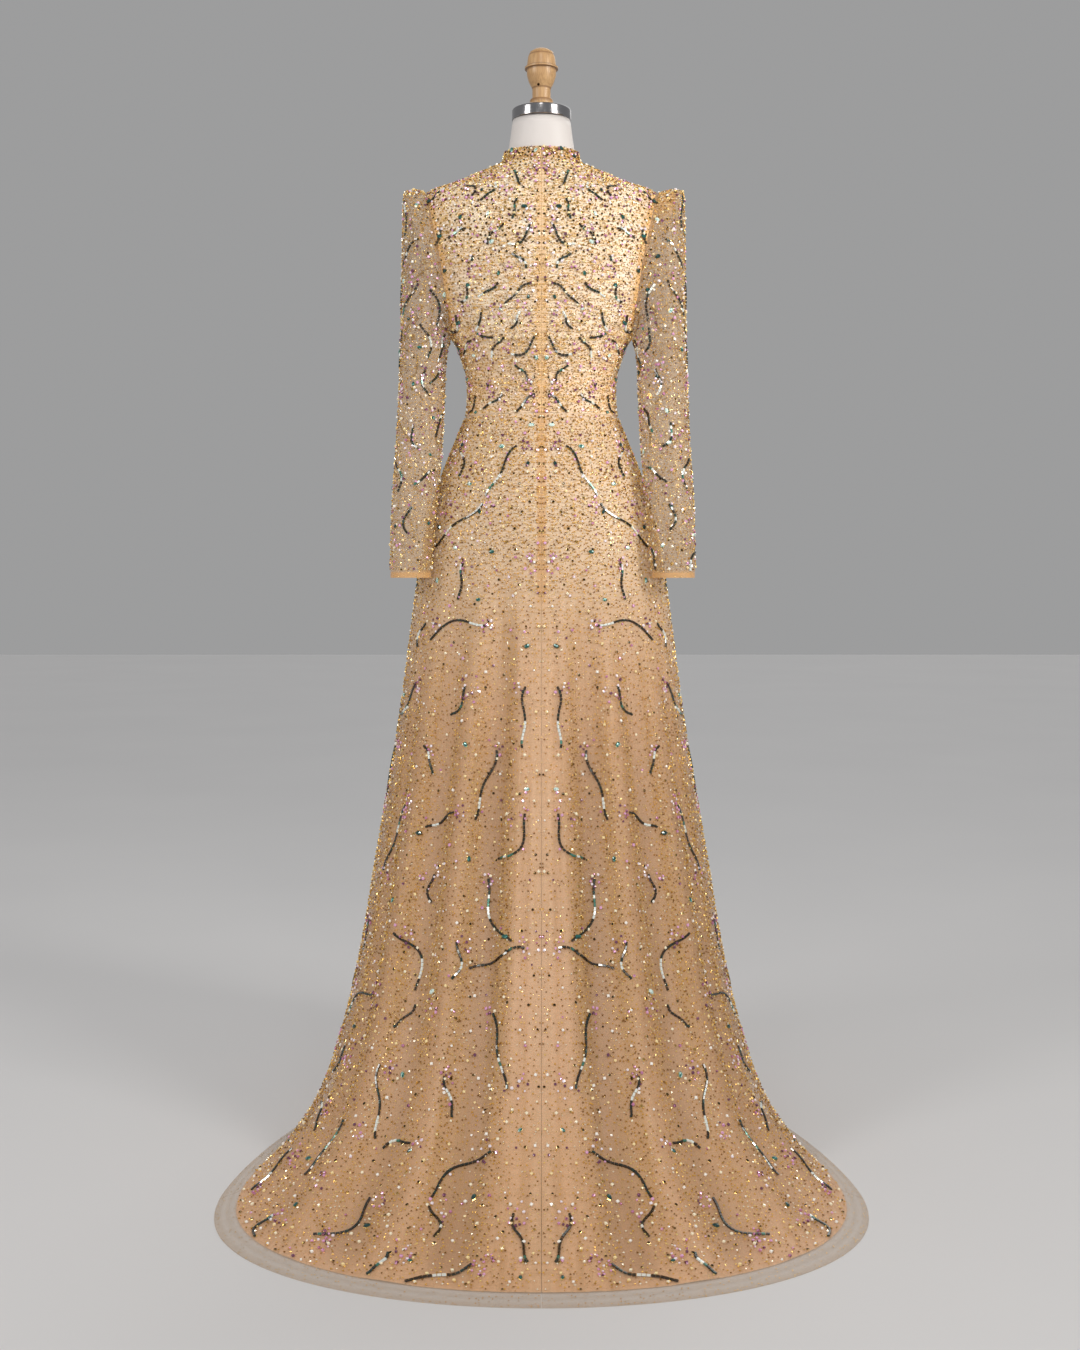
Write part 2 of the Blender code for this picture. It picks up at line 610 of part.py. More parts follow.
def add_form(back, front, behind, before, collar_outer):
    """The torso with its neck, in one smooth closed solid."""
    halves = [level_half(row) for row in HIPS] + under_bodice(back, front, behind, before)
    for row in collar_inside(collar_outer, COLLAR_CLOTH + EASE)[1:]:
        halves.append(with_side_points(row[: 2 * HALF_COLUMNS + 1]))
    halves.append(level_half(NECK, NECK_MIDDLE_Y))
    rings = [left + [Vector((-p.x, p.y, p.z)) for p in reversed(left[1:-1])] for left in halves]
    add_stack("form_torso", rings, "form_shell")


def add_fittings():
    """Neck cap, finial, pole and foot."""
    cap = [
        (CAP_RADIUS, CAP_BOTTOM),
        (CAP_RADIUS, CAP_TOP - CAP_EDGE),
        (CAP_RADIUS - CAP_EDGE * 0.3, CAP_TOP - CAP_EDGE * 0.3),
        (CAP_RADIUS - CAP_EDGE, CAP_TOP),
    ]
    add_turned("neck_cap", cap, TURNED_SIDES, "bright_metal", NECK_MIDDLE_Y)
    knob = [(radius, FINIAL_BOTTOM + height) for radius, height in FINIAL]
    add_turned("finial", knob, TURNED_SIDES, "turned_wood", NECK_MIDDLE_Y)
    pole = [(POLE_RADIUS, FOOT_HEIGHT + SEAM_GAP), (POLE_RADIUS, HIPS[0].height - SEAM_GAP)]
    add_turned("pole", pole, POLE_SIDES, "painted_metal")
    foot = [
        (FOOT_RADIUS, 0.0),
        (FOOT_RADIUS, FOOT_HEIGHT - FOOT_EDGE),
        (FOOT_RADIUS - FOOT_EDGE, FOOT_HEIGHT),
    ]
    add_turned("base", foot, FOOT_SIDES, "painted_metal")


def main():
    """Clears the scene and builds the gown and its form."""
    for obj in list(bpy.data.objects):
        bpy.data.objects.remove(obj, do_unlink=True)
    back, front = bodice_halves()
    behind, before = bodice_normals(back, front)
    add_bodice(back, front, behind, before)
    collar_outer = collar_rows(back, front)
    add_panel("collar", collar_outer, collar_inside(collar_outer, COLLAR_CLOTH), "beaded_cloth")
    for side in ("left", "right"):
        add_sleeve(side, back, front)
    skins = skirt_skins()
    add_skirt(skins)
    add_zip(back, behind, collar_outer, skins[-1])
    add_form(back, front, behind, before, collar_outer)
    add_fittings()


main()
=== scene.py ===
"""The evening gown on its dress form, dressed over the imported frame.

Metres, +Z up. The origin is on the floor, at the middle of the form's foot. The gown's front faces -Y, its
train runs towards +Y, and the wearer's left is +X. Every cloth surface is read at a row place and a column
place, so that shells, creases, seams and beads all lie on the same form. A right panel is the mirror image
of the left one.
"""

import logging
import math
from collections.abc import Callable
from dataclasses import astuple, dataclass, field
from enum import Enum
from functools import cache

import bmesh
import bpy
import numpy as np
from mathutils import Matrix, Vector
from mathutils.kdtree import KDTree


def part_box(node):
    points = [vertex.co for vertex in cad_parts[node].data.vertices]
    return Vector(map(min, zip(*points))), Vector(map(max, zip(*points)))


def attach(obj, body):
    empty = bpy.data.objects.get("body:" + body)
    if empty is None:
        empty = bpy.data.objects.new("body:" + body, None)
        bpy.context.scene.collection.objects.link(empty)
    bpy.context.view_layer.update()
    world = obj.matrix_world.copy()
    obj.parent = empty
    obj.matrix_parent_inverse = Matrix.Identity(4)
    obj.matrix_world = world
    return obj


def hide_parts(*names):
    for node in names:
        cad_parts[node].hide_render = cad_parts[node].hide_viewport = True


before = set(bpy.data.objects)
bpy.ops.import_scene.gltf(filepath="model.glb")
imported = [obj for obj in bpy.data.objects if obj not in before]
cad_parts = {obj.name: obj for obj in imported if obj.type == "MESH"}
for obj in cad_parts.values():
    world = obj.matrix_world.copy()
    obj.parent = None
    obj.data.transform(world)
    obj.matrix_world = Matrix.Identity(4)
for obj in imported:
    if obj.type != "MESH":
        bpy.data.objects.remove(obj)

Array = np.ndarray
Reader = Callable[[Array, Array], Array]
Span = tuple[float, float]
Triple = tuple[float, float, float]
Colour = Triple
Socket = bpy.types.NodeSocket
Inputs = dict[str | int, object]
LOG = logging.getLogger("gown")
BODY = "root"

# ---- Sizes shared with the solids ----
CLOTH = 0.0010
COLLAR_CLOTH = 0.0016
SEAM_GAP = 0.0003
EASE = 0.0036
SEAT_GAP = 0.0005
TRAIN_LIFT = 0.0024
SHARP_FOLD = math.radians(60)


class Side(Enum):
    """The wearer's side that a piece is on, and the sign of its X."""

    LEFT = 1
    RIGHT = -1

    @property
    def word(self) -> str:
        """The side's name in the names of pieces."""
        return self.name.lower()


# ---- Reading surfaces ----
def read_rows(table: Array, places: Array) -> Array:
    """Reads a table between its rows, smoothly and without overshooting.

    Args:
        table: Rows of sizes, or rows of one point for each place.
        places: Row places, from 0 to the last row.

    Returns:
        One row of sizes, or one point, for each place.
    """
    steps = np.diff(table, axis=0)
    before, after = steps[:-1], steps[1:]
    agree = before * after > 0
    total = np.where(agree, before + after, 1.0)
    middle = np.where(agree, 2 * before * after / total, 0.0)
    slopes = np.concatenate([steps[:1], middle, steps[-1:]])
    low = np.clip(places.astype(int), 0, len(table) - 2)
    pick = (low,) if table.ndim == 2 else (low, np.arange(len(low)))
    above = (low + 1, *pick[1:])
    t = np.clip(places - low, 0.0, 1.0)[:, None]
    rest = 1 - t
    ends = (1 + 2 * t) * rest**2 * table[pick] + t**2 * (3 - 2 * t) * table[above]
    return ends + t * rest**2 * slopes[pick] - t**2 * rest * slopes[above]


def rows_of(kind: type, *sizes: tuple[float, ...]) -> list:
    """One record of a kind for each set of sizes."""
    return [kind(*values) for values in sizes]


def unit(vectors: Array) -> Array:
    """The vectors at length 1."""
    return vectors / np.maximum(np.linalg.norm(vectors, axis=-1, keepdims=True), 1e-12)


def smooth_step(values: Array, low: float, high: float) -> Array:
    """Rises softly from 0 at low to 1 at high."""
    t = np.clip((values - low) / (high - low), 0.0, 1.0)
    return t * t * (3 - 2 * t)


@dataclass(frozen=True)
class Crease:
    """One soft crease, in row and column places.

    It is centred at (row, column), fades out half_rows away along its length and half_columns away across,
    and drifts by slant columns for each row. A depth below zero makes it a ridge.
    """

    row: float
    column: float
    half_rows: float
    half_columns: float
    slant: float
    depth: float


def crease_depth(creases: list[Crease], rows: Array, columns: Array, period: float = 0.0) -> Array:
    """How far a set of creases goes in.

    Args:
        creases: The creases.
        rows: Row places.
        columns: Column places.
        period: The column places that go once round, or 0 on an open panel.

    Returns:
        The depth at each place.
    """
    total = np.zeros(len(rows))
    for crease in creases:
        down = (rows - crease.row) / crease.half_rows
        aside = columns - crease.column - crease.slant * (rows - crease.row)
        if period:
            aside = (aside + period / 2) % period - period / 2
        total += crease.depth * np.exp(-(down**4) - (aside / crease.half_columns) ** 2)
    return total


class Surface:
    """A cloth surface on one side of the body, read at row places and column places."""

    row_limits: Span = (0.0, 1.0)
    column_limits: Span = (-math.inf, math.inf)
    row_step: float = 0.02
    column_step: float = 0.01
    outward: float = 1.0  # the sign that turns across x along outwards
    downward: float = 1.0  # the sign that turns along rows downwards

    def base(self, rows: Array, columns: Array) -> Array:
        """The smooth surface without its folds and creases."""
        raise NotImplementedError

    def relief(self, rows: Array, columns: Array) -> Array:
        """How far folds and creases stand out from the smooth surface."""
        return np.zeros(len(rows))

    def directions(self, reader: Reader, rows: Array, columns: Array) -> tuple[Array, Array]:
        """How a surface runs at each place.

        Args:
            reader: The surface's points for row and column places.
            rows: Row places.
            columns: Column places.

        Returns:
            The change of place for one row, and for one column.
        """
        above = np.minimum(rows + self.row_step, self.row_limits[1])
        below = np.maximum(rows - self.row_step, self.row_limits[0])
        after = np.minimum(columns + self.column_step, self.column_limits[1])
        before = np.maximum(columns - self.column_step, self.column_limits[0])
        along = (reader(above, columns) - reader(below, columns)) / (above - below)[:, None]
        across = (reader(rows, after) - reader(rows, before)) / (after - before)[:, None]
        return along, across

    def facing(self, reader: Reader, rows: Array, columns: Array) -> Array:
        """Outward unit normals of the surface that the reader gives."""
        along, across = self.directions(reader, rows, columns)
        return unit(self.outward * np.cross(across, along))

    def points(self, rows: Array, columns: Array) -> Array:
        """The surface with its folds and creases."""
        normals = self.facing(self.base, rows, columns)
        return self.base(rows, columns) + normals * self.relief(rows, columns)[:, None]

    def normals(self, rows: Array, columns: Array) -> Array:
        """Outward unit normals of the surface with its folds and creases."""
        return self.facing(self.points, rows, columns)

    def grid(self, rows: Array, columns: Array) -> tuple[Array, Array]:
        """Points and normals on a grid of places.

        Args:
            rows: The grid's row places.
            columns: The grid's column places.

        Returns:
            Points and outward normals, each rows by columns by 3.
        """
        row, column = (g.ravel() for g in np.meshgrid(rows, columns, indexing="ij"))
        shape = (len(rows), len(columns), 3)
        return self.points(row, column).reshape(shape), self.normals(row, column).reshape(shape)


# ---- Meshes ----
def mirrored(points: Array) -> Array:
    """The same points or vectors on the wearer's other side."""
    return points * np.array([-1.0, 1.0, 1.0])


def new_object(name: str, data: bpy.types.ID) -> bpy.types.Object:
    """Links a mesh, a light or a camera into the scene as an object at the origin."""
    obj = bpy.data.objects.new(name, data)
    bpy.context.scene.collection.objects.link(obj)
    return obj


def grid_faces(rows: int, columns: int, first: int, closed: bool) -> Array:
    """Quads over a grid of points.

    Args:
        rows: Rows of points.
        columns: Points in a row.
        first: The index of the grid's first point.
        closed: Whether the rows close on themselves.

    Returns:
        Four indices for each quad.
    """
    span = columns if closed else columns - 1
    row, column = (g.ravel() for g in np.meshgrid(np.arange(rows - 1), np.arange(span), indexing="ij"))
    here, beside = row * columns + column, row * columns + (column + 1) % columns
    return first + np.stack([here, beside, beside + columns, here + columns], axis=1)


@dataclass
class Wall:
    """A thin closed wall of cloth between an outer and an inner grid of points."""

    name: str
    outer: Array
    inner: Array
    closed: bool = False
    marks: dict[str, Array] = field(default_factory=dict)

    def rims(self) -> list[tuple[Array, Array]]:
        """The runs of point indices that the wall's edges join, outer and inner."""
        rows, columns, _ = self.outer.shape
        index = np.arange(rows * columns).reshape(rows, columns)
        runs = [index[0], index[-1][::-1]]
        if self.closed:
            runs = [np.append(run, run[0]) for run in runs]
        else:
            runs += [index[::-1, 0], index[:, -1]]
        return [(run, run + rows * columns) for run in runs]

    def mesh(self) -> bpy.types.Mesh:
        """The wall as a mesh with outward faces, a UV map in metres and its marks as attributes."""
        rows, columns, _ = self.outer.shape
        count = rows * columns
        faces = [grid_faces(rows, columns, 0, self.closed)]
        faces.append(grid_faces(rows, columns, count, self.closed)[:, ::-1])
        for outer, inner in self.rims():
            faces.append(np.stack([outer[1:], outer[:-1], inner[:-1], inner[1:]], axis=1))
        faces = np.concatenate(faces)
        points = np.concatenate([self.outer.reshape(-1, 3), self.inner.reshape(-1, 3)])
        if self.turned_in(points, faces[0]):
            faces = faces[:, ::-1]
        mesh = bpy.data.meshes.new(self.name)
        mesh.from_pydata(points.tolist(), [], faces.tolist())
        layer = mesh.uv_layers.new(name="cloth")
        layer.data.foreach_set("uv", self.flat_places()[faces.ravel()].ravel())
        for mark, values in self.marks.items():
            attribute = mesh.attributes.new(mark, "FLOAT", "POINT")
            attribute.data.foreach_set("value", np.tile(values.ravel(), 2).astype(np.float32))
        mesh.shade_smooth()
        mesh.set_sharp_from_angle(angle=SHARP_FOLD)
        mesh.validate()
        return mesh

    def turned_in(self, points: Array, face: Array) -> bool:
        """Whether the first outer face looks towards the inner skin."""
        a, b, _, d = points[face]
        return float(np.dot(np.cross(b - a, d - a), self.outer[0, 0] - self.inner[0, 0])) < 0

    @property
    def ring(self) -> Array:
        """The outer grid, with its first column once more at its end where the wall is closed."""
        return np.concatenate([self.outer, self.outer[:, :1]], axis=1) if self.closed else self.outer

    def spans(self) -> tuple[Array, Array]:
        """The lengths of the grid's steps across its rows and along its columns."""
        across = np.linalg.norm(np.diff(self.ring, axis=1), axis=2)
        return across, np.linalg.norm(np.diff(self.outer, axis=0), axis=2)

    def flat_places(self) -> Array:
        """Each point's place on the flat cloth, in metres, for both skins."""
        rows, columns, _ = self.outer.shape
        across, along = self.spans()
        width = across[:, : columns - 1].sum(axis=1).mean()
        length = np.concatenate([[0.0], along.mean(axis=1).cumsum()])
        u, v = np.meshgrid(np.linspace(0.0, width, columns), length)
        return np.tile(np.stack([u.ravel(), v.ravel()], axis=1), (2, 1))

    def cut(self) -> tuple[float, float, float]:
        """The width, length and area of the flat cloth that the wall is cut from."""
        across, along = self.spans()
        low, high = self.ring[:-1], self.ring[1:]
        first = np.cross(high[:, :-1] - low[:, :-1], low[:, 1:] - low[:, :-1])
        second = np.cross(high[:, :-1] - high[:, 1:], low[:, 1:] - high[:, 1:])
        area = (np.linalg.norm(first, axis=2) + np.linalg.norm(second, axis=2)).sum() / 2
        return float(across.sum(axis=1).max()), float(along.sum(axis=0).max()), float(area)


def inward(points: Array, normals: Array, depth: float) -> Array:
    """A skin that lies a depth inside another."""
    return points - normals * depth


def level_ends(inner: Array, outer: Array) -> Array:
    """The inner skin with its first and last rows at the outer skin's heights."""
    inner = inner.copy()
    inner[[0, -1], :, 2] = outer[[0, -1], :, 2]
    return inner


def settled(obj: bpy.types.Object) -> bpy.types.Object:
    """The object with its modifier's result as its plain mesh.

    Args:
        obj: The object, with one modifier.

    Returns:
        The same object, without it.
    """
    graph = bpy.context.evaluated_depsgraph_get()
    evaluated = obj.evaluated_get(graph)
    mesh = bpy.data.meshes.new_from_object(evaluated, preserve_all_data_layers=True, depsgraph=graph)
    obj.modifiers.clear()
    source, obj.data = obj.data, mesh
    bpy.data.meshes.remove(source)
    mesh.name = obj.name
    return obj


# ---- Wiring nodes ----
class Graph:
    """A tree of nodes under construction."""

    def __init__(self, tree: bpy.types.NodeTree) -> None:
        """Takes the tree."""
        self.tree = tree

    def link(self, source: Socket, target: Socket) -> None:
        """Joins two sockets."""
        self.tree.links.new(source, target)

    def node(self, kind: str, inputs: Inputs | None = None, **settings: object) -> bpy.types.Node:
        """Adds a node.

        Args:
            kind: The node's type.
            inputs: A value or a source socket for each input, by name or index.
            settings: The node's own properties.

        Returns:
            The new node.
        """
        fresh = self.tree.nodes.new(kind)
        for name, value in settings.items():
            setattr(fresh, name, value)
        for key, value in (inputs or {}).items():
            if isinstance(value, Socket):
                self.link(value, fresh.inputs[key])
            else:
                fresh.inputs[key].default_value = value
        return fresh

    def result(
        self, output: str | int, kind: str, inputs: Inputs | None = None, **settings: object
    ) -> Socket:
        """One output of a new node."""
        return self.node(kind, inputs, **settings).outputs[output]


@dataclass(frozen=True)
class Pattern:
    """Noise with one scale or one for each axis, and what it does to colour, gloss and surface."""

    scale: float | Triple
    detail: float
    start: float = 0.0  # where it begins to show
    full: float = 1.0  # where it shows in full
    share: float = 1.0  # how strongly it shows in full
    depth: float = 0.0  # how far it raises the surface, in metres
    strength: float = 1.0  # of that relief


PIN_HEAD_CELLS = 250.0  # cells in a metre
PIN_HEAD_EDGE = (0.30, 0.20)
PIN_HEAD_METAL = 0.85


class Wiring(Graph):
    """A Principled material under construction."""

    def __init__(self, name: str, **values: float | Colour) -> None:
        """Starts a material with constant values on its shader's sockets, by name with _ for a space.

        Args:
            name: The material's name.
            values: The constant values.
        """
        self.material = bpy.data.materials.new(name)
        self.material.use_nodes = True
        super().__init__(self.material.node_tree)
        self.shader = self.tree.nodes["Principled BSDF"]
        self.place = self.result("Object", "ShaderNodeTexCoord")
        for key, value in values.items():
            socket = self.shader.inputs[key.replace("_", " ")]
            socket.default_value = (*value, 1.0) if isinstance(value, tuple) else value

    def join(self, source: Socket, name: str) -> None:
        """Feeds a shader socket."""
        self.link(source, self.shader.inputs[name])

    def attribute(self, name: str) -> Socket:
        """A number that the mesh carries."""
        return self.result("Fac", "ShaderNodeAttribute", attribute_name=name)

    def cloth_place(self) -> Socket:
        """The place on the flat cloth, in metres."""
        return self.result("UV", "ShaderNodeUVMap", uv_map="cloth")

    def noise(self, source: Socket, pattern: Pattern) -> Socket:
        """A pattern's noise, from 0 to 1."""
        scale = pattern.scale
        if isinstance(scale, tuple):
            source = self.result("Vector", "ShaderNodeMapping", {"Vector": source, "Scale": scale})
            scale = 1.0
        inputs = {"Vector": source, "Scale": scale, "Detail": pattern.detail}
        return self.result("Fac", "ShaderNodeTexNoise", inputs)

    def shown(self, noise: Socket, pattern: Pattern) -> Socket:
        """How strongly a pattern's noise shows, from 0 to its share."""
        return self.between(noise, pattern.start, pattern.full, 0.0, pattern.share)

    def ramp(self, source: Socket, stops: dict[float, Colour]) -> Socket:
        """Colours along a number, which change at once at each stop.

        Args:
            source: The number.
            stops: A colour for each place from 0 to 1.

        Returns:
            The colour.
        """
        stepped = self.node("ShaderNodeValToRGB", {"Fac": source})
        stepped.color_ramp.interpolation = "CONSTANT"
        elements = stepped.color_ramp.elements
        while len(elements) < len(stops):
            elements.new(0.5)
        for element, (place, colour) in zip(elements, sorted(stops.items())):
            element.position = place
            element.color = (*colour, 1.0)
        return stepped.outputs["Color"]

    def between(
        self, source: Socket, low: float, high: float, start: float = 0.0, end: float = 1.0
    ) -> Socket:
        """Turns numbers from low to high into numbers from start to end."""
        inputs = {"Value": source, "From Min": low, "From Max": high, "To Min": start, "To Max": end}
        return self.result("Result", "ShaderNodeMapRange", inputs)

    def math(self, operation: str, first: Socket | float, second: Socket | float) -> Socket:
        """Two numbers as one."""
        return self.result("Value", "ShaderNodeMath", {0: first, 1: second}, operation=operation)

    def plus(self, first: Socket | float, second: Socket | float) -> Socket:
        """The sum of two numbers."""
        return self.math("ADD", first, second)

    def times(self, first: Socket | float, second: Socket | float) -> Socket:
        """The product of two numbers."""
        return self.math("MULTIPLY", first, second)

    def most(self, first: Socket | float, second: Socket | float) -> Socket:
        """The greater of two numbers."""
        return self.math("MAXIMUM", first, second)

    def moved(self, operation: str, place: Socket, other: Socket | Triple) -> Socket:
        """A place and another place or scale as one."""
        return self.result("Vector", "ShaderNodeVectorMath", {0: place, 1: other}, operation=operation)

    def mix(self, share: Socket | float, first: Socket | Colour, second: Socket | Colour) -> Socket:
        """Mixes two colours."""
        first, second = (c if isinstance(c, Socket) else (*c, 1.0) for c in (first, second))
        return self.result(2, "ShaderNodeMix", {"Factor": share, 6: first, 7: second}, data_type="RGBA")

    def bump(self, height: Socket, distance: float, strength: float) -> None:
        """Raises the surface by a height from 0 to 1 times a distance, over what was raised before."""
        inputs = {"Height": height, "Distance": distance, "Strength": strength}
        normal = self.shader.inputs["Normal"]
        if normal.is_linked:
            inputs["Normal"] = normal.links[0].from_socket
        self.join(self.result("Normal", "ShaderNodeBump", inputs), "Normal")

    def emboss(self, noise: Socket, pattern: Pattern) -> None:
        """Raises the surface by a pattern's noise."""
        self.bump(noise, pattern.depth, pattern.strength)

    def pin_heads(self, bare: Socket | float) -> Socket:
        """Pin-head beads, round dots on every small cell but a bare share of them."""
        cells = self.node("ShaderNodeTexVoronoi", {"Vector": self.place, "Scale": PIN_HEAD_CELLS})
        tone = self.result(0, "ShaderNodeSeparateColor", {0: cells.outputs["Color"]})
        dot = self.between(cells.outputs["Distance"], *PIN_HEAD_EDGE)
        return self.times(dot, self.math("GREATER_THAN", tone, bare))

    def gild(self, dots: Socket, colour: Socket, gold: Colour, rough: Span) -> None:
        """Paints the cloth in a colour and its pin-heads in gold, each with its roughness."""
        self.join(self.mix(dots, colour, gold), "Base Color")
        self.join(self.times(dots, PIN_HEAD_METAL), "Metallic")
        self.join(self.between(dots, 0.0, 1.0, *rough), "Roughness")


# ---- Finishes ----
@dataclass(frozen=True)
class BeadedCloth:
    """Crinkled tulle with metal thread over satin, with painted shade in its pleats. Reads the mark "band"
    and the mark that turns the cloth tan, which is partly its own tone and partly painted shade.
    """

    cream: Colour = (0.98, 0.85, 0.68)
    tan: Colour = (0.74, 0.49, 0.285)
    thread: Colour = (0.66, 0.39, 0.10)
    shade: Colour = (0.50, 0.285, 0.10)
    gold: Colour = (0.85, 0.60, 0.26)
    band: Colour = (0.76, 0.44, 0.165)
    wave: Pattern = Pattern(14.0, 1.0, depth=0.012)  # how the lines wander up and down
    line: Pattern = Pattern((72.0, 72.0, 350.0), 2.0, 0.53, 0.64, 0.72, 0.0007, 0.7)
    pleat: Pattern = Pattern((11.0, 11.0, 150.0), 2.0, 0.54, 0.74, 0.55, 0.0030, 0.6)
    cloud: Pattern = Pattern(16.0, 3.0, 0.35, 0.78, 0.45)
    bare: float = 0.5
    bead_relief: Span = (0.0008, 0.9)
    rough: Span = (0.40, 0.22)  # of the cloth and of its pin-heads

    def make(self) -> bpy.types.Material:
        """Builds the material."""
        w = Wiring("beaded_cloth", Sheen_Weight=0.25, Sheen_Roughness=0.4)
        inputs = {"Vector": w.place, "Scale": self.wave.scale, "Detail": self.wave.detail}
        wavy = w.result("Color", "ShaderNodeTexNoise", inputs)
        place = w.moved("ADD", w.place, w.moved("MULTIPLY", wavy, (0.0, 0.0, self.wave.depth)))
        line = w.between(w.noise(place, self.line), self.line.start, self.line.full)
        pleat = w.noise(place, self.pleat)
        cloud = w.noise(w.place, self.cloud)
        colour = w.mix(w.shown(cloud, self.cloud), self.cream, self.tan)
        # turns the cloth tan where the mark says: partly its own tone, partly painted shade
        colour = w.mix(w.attribute("tan"), colour, self.tan)
        # painted shade in the creases of the pleats
        colour = w.mix(w.shown(pleat, self.pleat), colour, self.shade)
        colour = w.mix(w.times(line, self.line.share), colour, self.thread)
        colour = w.mix(w.attribute("band"), colour, self.band)
        dots = w.pin_heads(self.bare)
        w.gild(dots, colour, self.gold, self.rough)
        w.emboss(pleat, self.pleat)
        w.emboss(line, self.line)
        w.bump(dots, *self.bead_relief)
        return w.material


@dataclass(frozen=True)
class Tulle:
    """Fine sheer net with metal thread and pin-head beads."""

    name: str
    net: Colour
    thread: Colour
    cover: float  # how far the bare net hides what lies behind it
    pinned: float  # the share of cells that hold a pin-head
    cream: Colour = (0.98, 0.79, 0.575)
    gold: Colour = (0.82, 0.56, 0.22)
    band: Colour = (0.78, 0.44, 0.16)
    edge: Colour = (0.60, 0.49, 0.38)
    warp: Pattern = Pattern((190.0, 4.0, 1.0), 3.0, 0.45, 0.75, 0.55, 0.0010, 0.35)
    weft: Pattern = Pattern((70.0, 330.0, 1.0), 2.0, 0.52, 0.64, 1.0, 0.0010, 0.35)
    bead_relief: Span = (0.0006, 0.8)
    rough: Span = (0.50, 0.25)  # of the net and of its pin-heads
    more_pinned: float = 0.28  # where the net is crinkled or drawn into ribbons
    drawn: Span = (0.35, 0.65)  # how strongly the weft shows everywhere, and more where crinkled
    ribbon_thread: float = 0.55
    edge_share: float = 0.75
    edge_strands: float = 0.25
    edge_cover: float = 0.7
    strand_cover: float = 0.30
    crinkled_cover: float = 0.28
    ribbon_cover: float = 0.20
    band_cover: float = 0.62
    bead_cover: float = 0.95

    def make(self) -> bpy.types.Material:
        """Builds the material, which reads the marks "band", "crinkled", "ribbon" and "border"."""
        w = Wiring(self.name, Sheen_Weight=0.35, Sheen_Roughness=0.35)
        flat = w.cloth_place()
        marks = ("crinkled", "ribbon", "band", "border")
        crinkled, ribbon, band, border = (w.attribute(mark) for mark in marks)
        warp, weft = w.noise(flat, self.warp), w.noise(flat, self.weft)
        more = w.times(w.most(crinkled, ribbon), self.more_pinned)
        dots = w.pin_heads(w.math("SUBTRACT", 1.0 - self.pinned, more))
        drawn = w.times(w.shown(weft, self.weft), w.plus(w.times(crinkled, self.drawn[1]), self.drawn[0]))
        line = w.times(w.between(warp, self.warp.start, self.warp.full), self.warp.share)
        strand = w.times(w.most(line, drawn), w.between(border, 0.0, 1.0, 1.0, self.edge_strands))
        colour = w.mix(crinkled, self.net, self.cream)
        colour = w.mix(strand, colour, self.thread)
        colour = w.mix(w.times(ribbon, self.ribbon_thread), colour, self.thread)
        colour = w.mix(w.times(border, self.edge_share), colour, self.edge)
        colour = w.mix(band, colour, self.band)
        w.gild(dots, colour, self.gold, self.rough)
        cover = w.plus(w.times(strand, self.strand_cover), self.cover)
        cover = w.plus(cover, w.times(crinkled, self.crinkled_cover))
        cover = w.plus(cover, w.times(ribbon, self.ribbon_cover))
        cover = w.times(cover, w.between(border, 0.0, 1.0, 1.0, self.edge_cover))
        cover = w.most(cover, w.times(band, self.band_cover))
        w.join(w.most(cover, w.times(dots, self.bead_cover)), "Alpha")
        w.emboss(warp, self.warp)
        w.emboss(weft, self.weft)
        w.bump(dots, *self.bead_relief)
        return w.material


@dataclass(frozen=True)
class LiningSatin:
    """Soft satin, with painted shade in soft vertical streaks and in the troughs of its folds. Reads the mark
    of that painted trough shade, "pressed" and "stitched".
    """

    lit: Colour = (0.92, 0.63, 0.395)
    shade: Colour = (0.75, 0.46, 0.268)
    streak: Pattern = Pattern((26.0, 1.6, 1.0), 2.0, 0.35, 0.7, 0.42, 0.004, 0.25)
    cloud: Pattern = Pattern(5.0, 2.0, 0.35, 0.75, 0.3)
    weave: Pattern = Pattern((900.0, 2600.0, 1.0), 1.0, 0.3, 0.7, 1.0, 0.0003, 0.4)
    rough: Span = (0.36, 0.5)
    marks: tuple[tuple[str, float, Colour], ...] = (
        # the first mark paints shade into the troughs of the folds
        ("trough_shade", 0.9, (0.47, 0.26, 0.15)),
        ("pressed", 0.6, (0.94, 0.69, 0.46)),
        ("stitched", 0.7, (0.44, 0.24, 0.12)),
    )  # each with its share and its colour

    def make(self) -> bpy.types.Material:
        """Builds the material."""
        w = Wiring("lining_satin", Sheen_Weight=0.2, Sheen_Roughness=0.3, Specular_IOR_Level=0.5)
        flat = w.cloth_place()
        streak, weave = w.noise(flat, self.streak), w.noise(flat, self.weave)
        # painted shade: soft vertical streaks shift the lit colour towards the shade colour
        colour = w.mix(w.shown(streak, self.streak), self.lit, self.shade)
        colour = w.mix(w.shown(w.noise(w.place, self.cloud), self.cloud), colour, self.shade)
        for mark, share, tone in self.marks:
            colour = w.mix(w.times(w.attribute(mark), share), colour, tone)
        w.join(colour, "Base Color")
        w.join(w.between(weave, self.weave.start, self.weave.full, *self.rough), "Roughness")
        w.emboss(streak, self.streak)
        w.emboss(weave, self.weave)
        return w.material


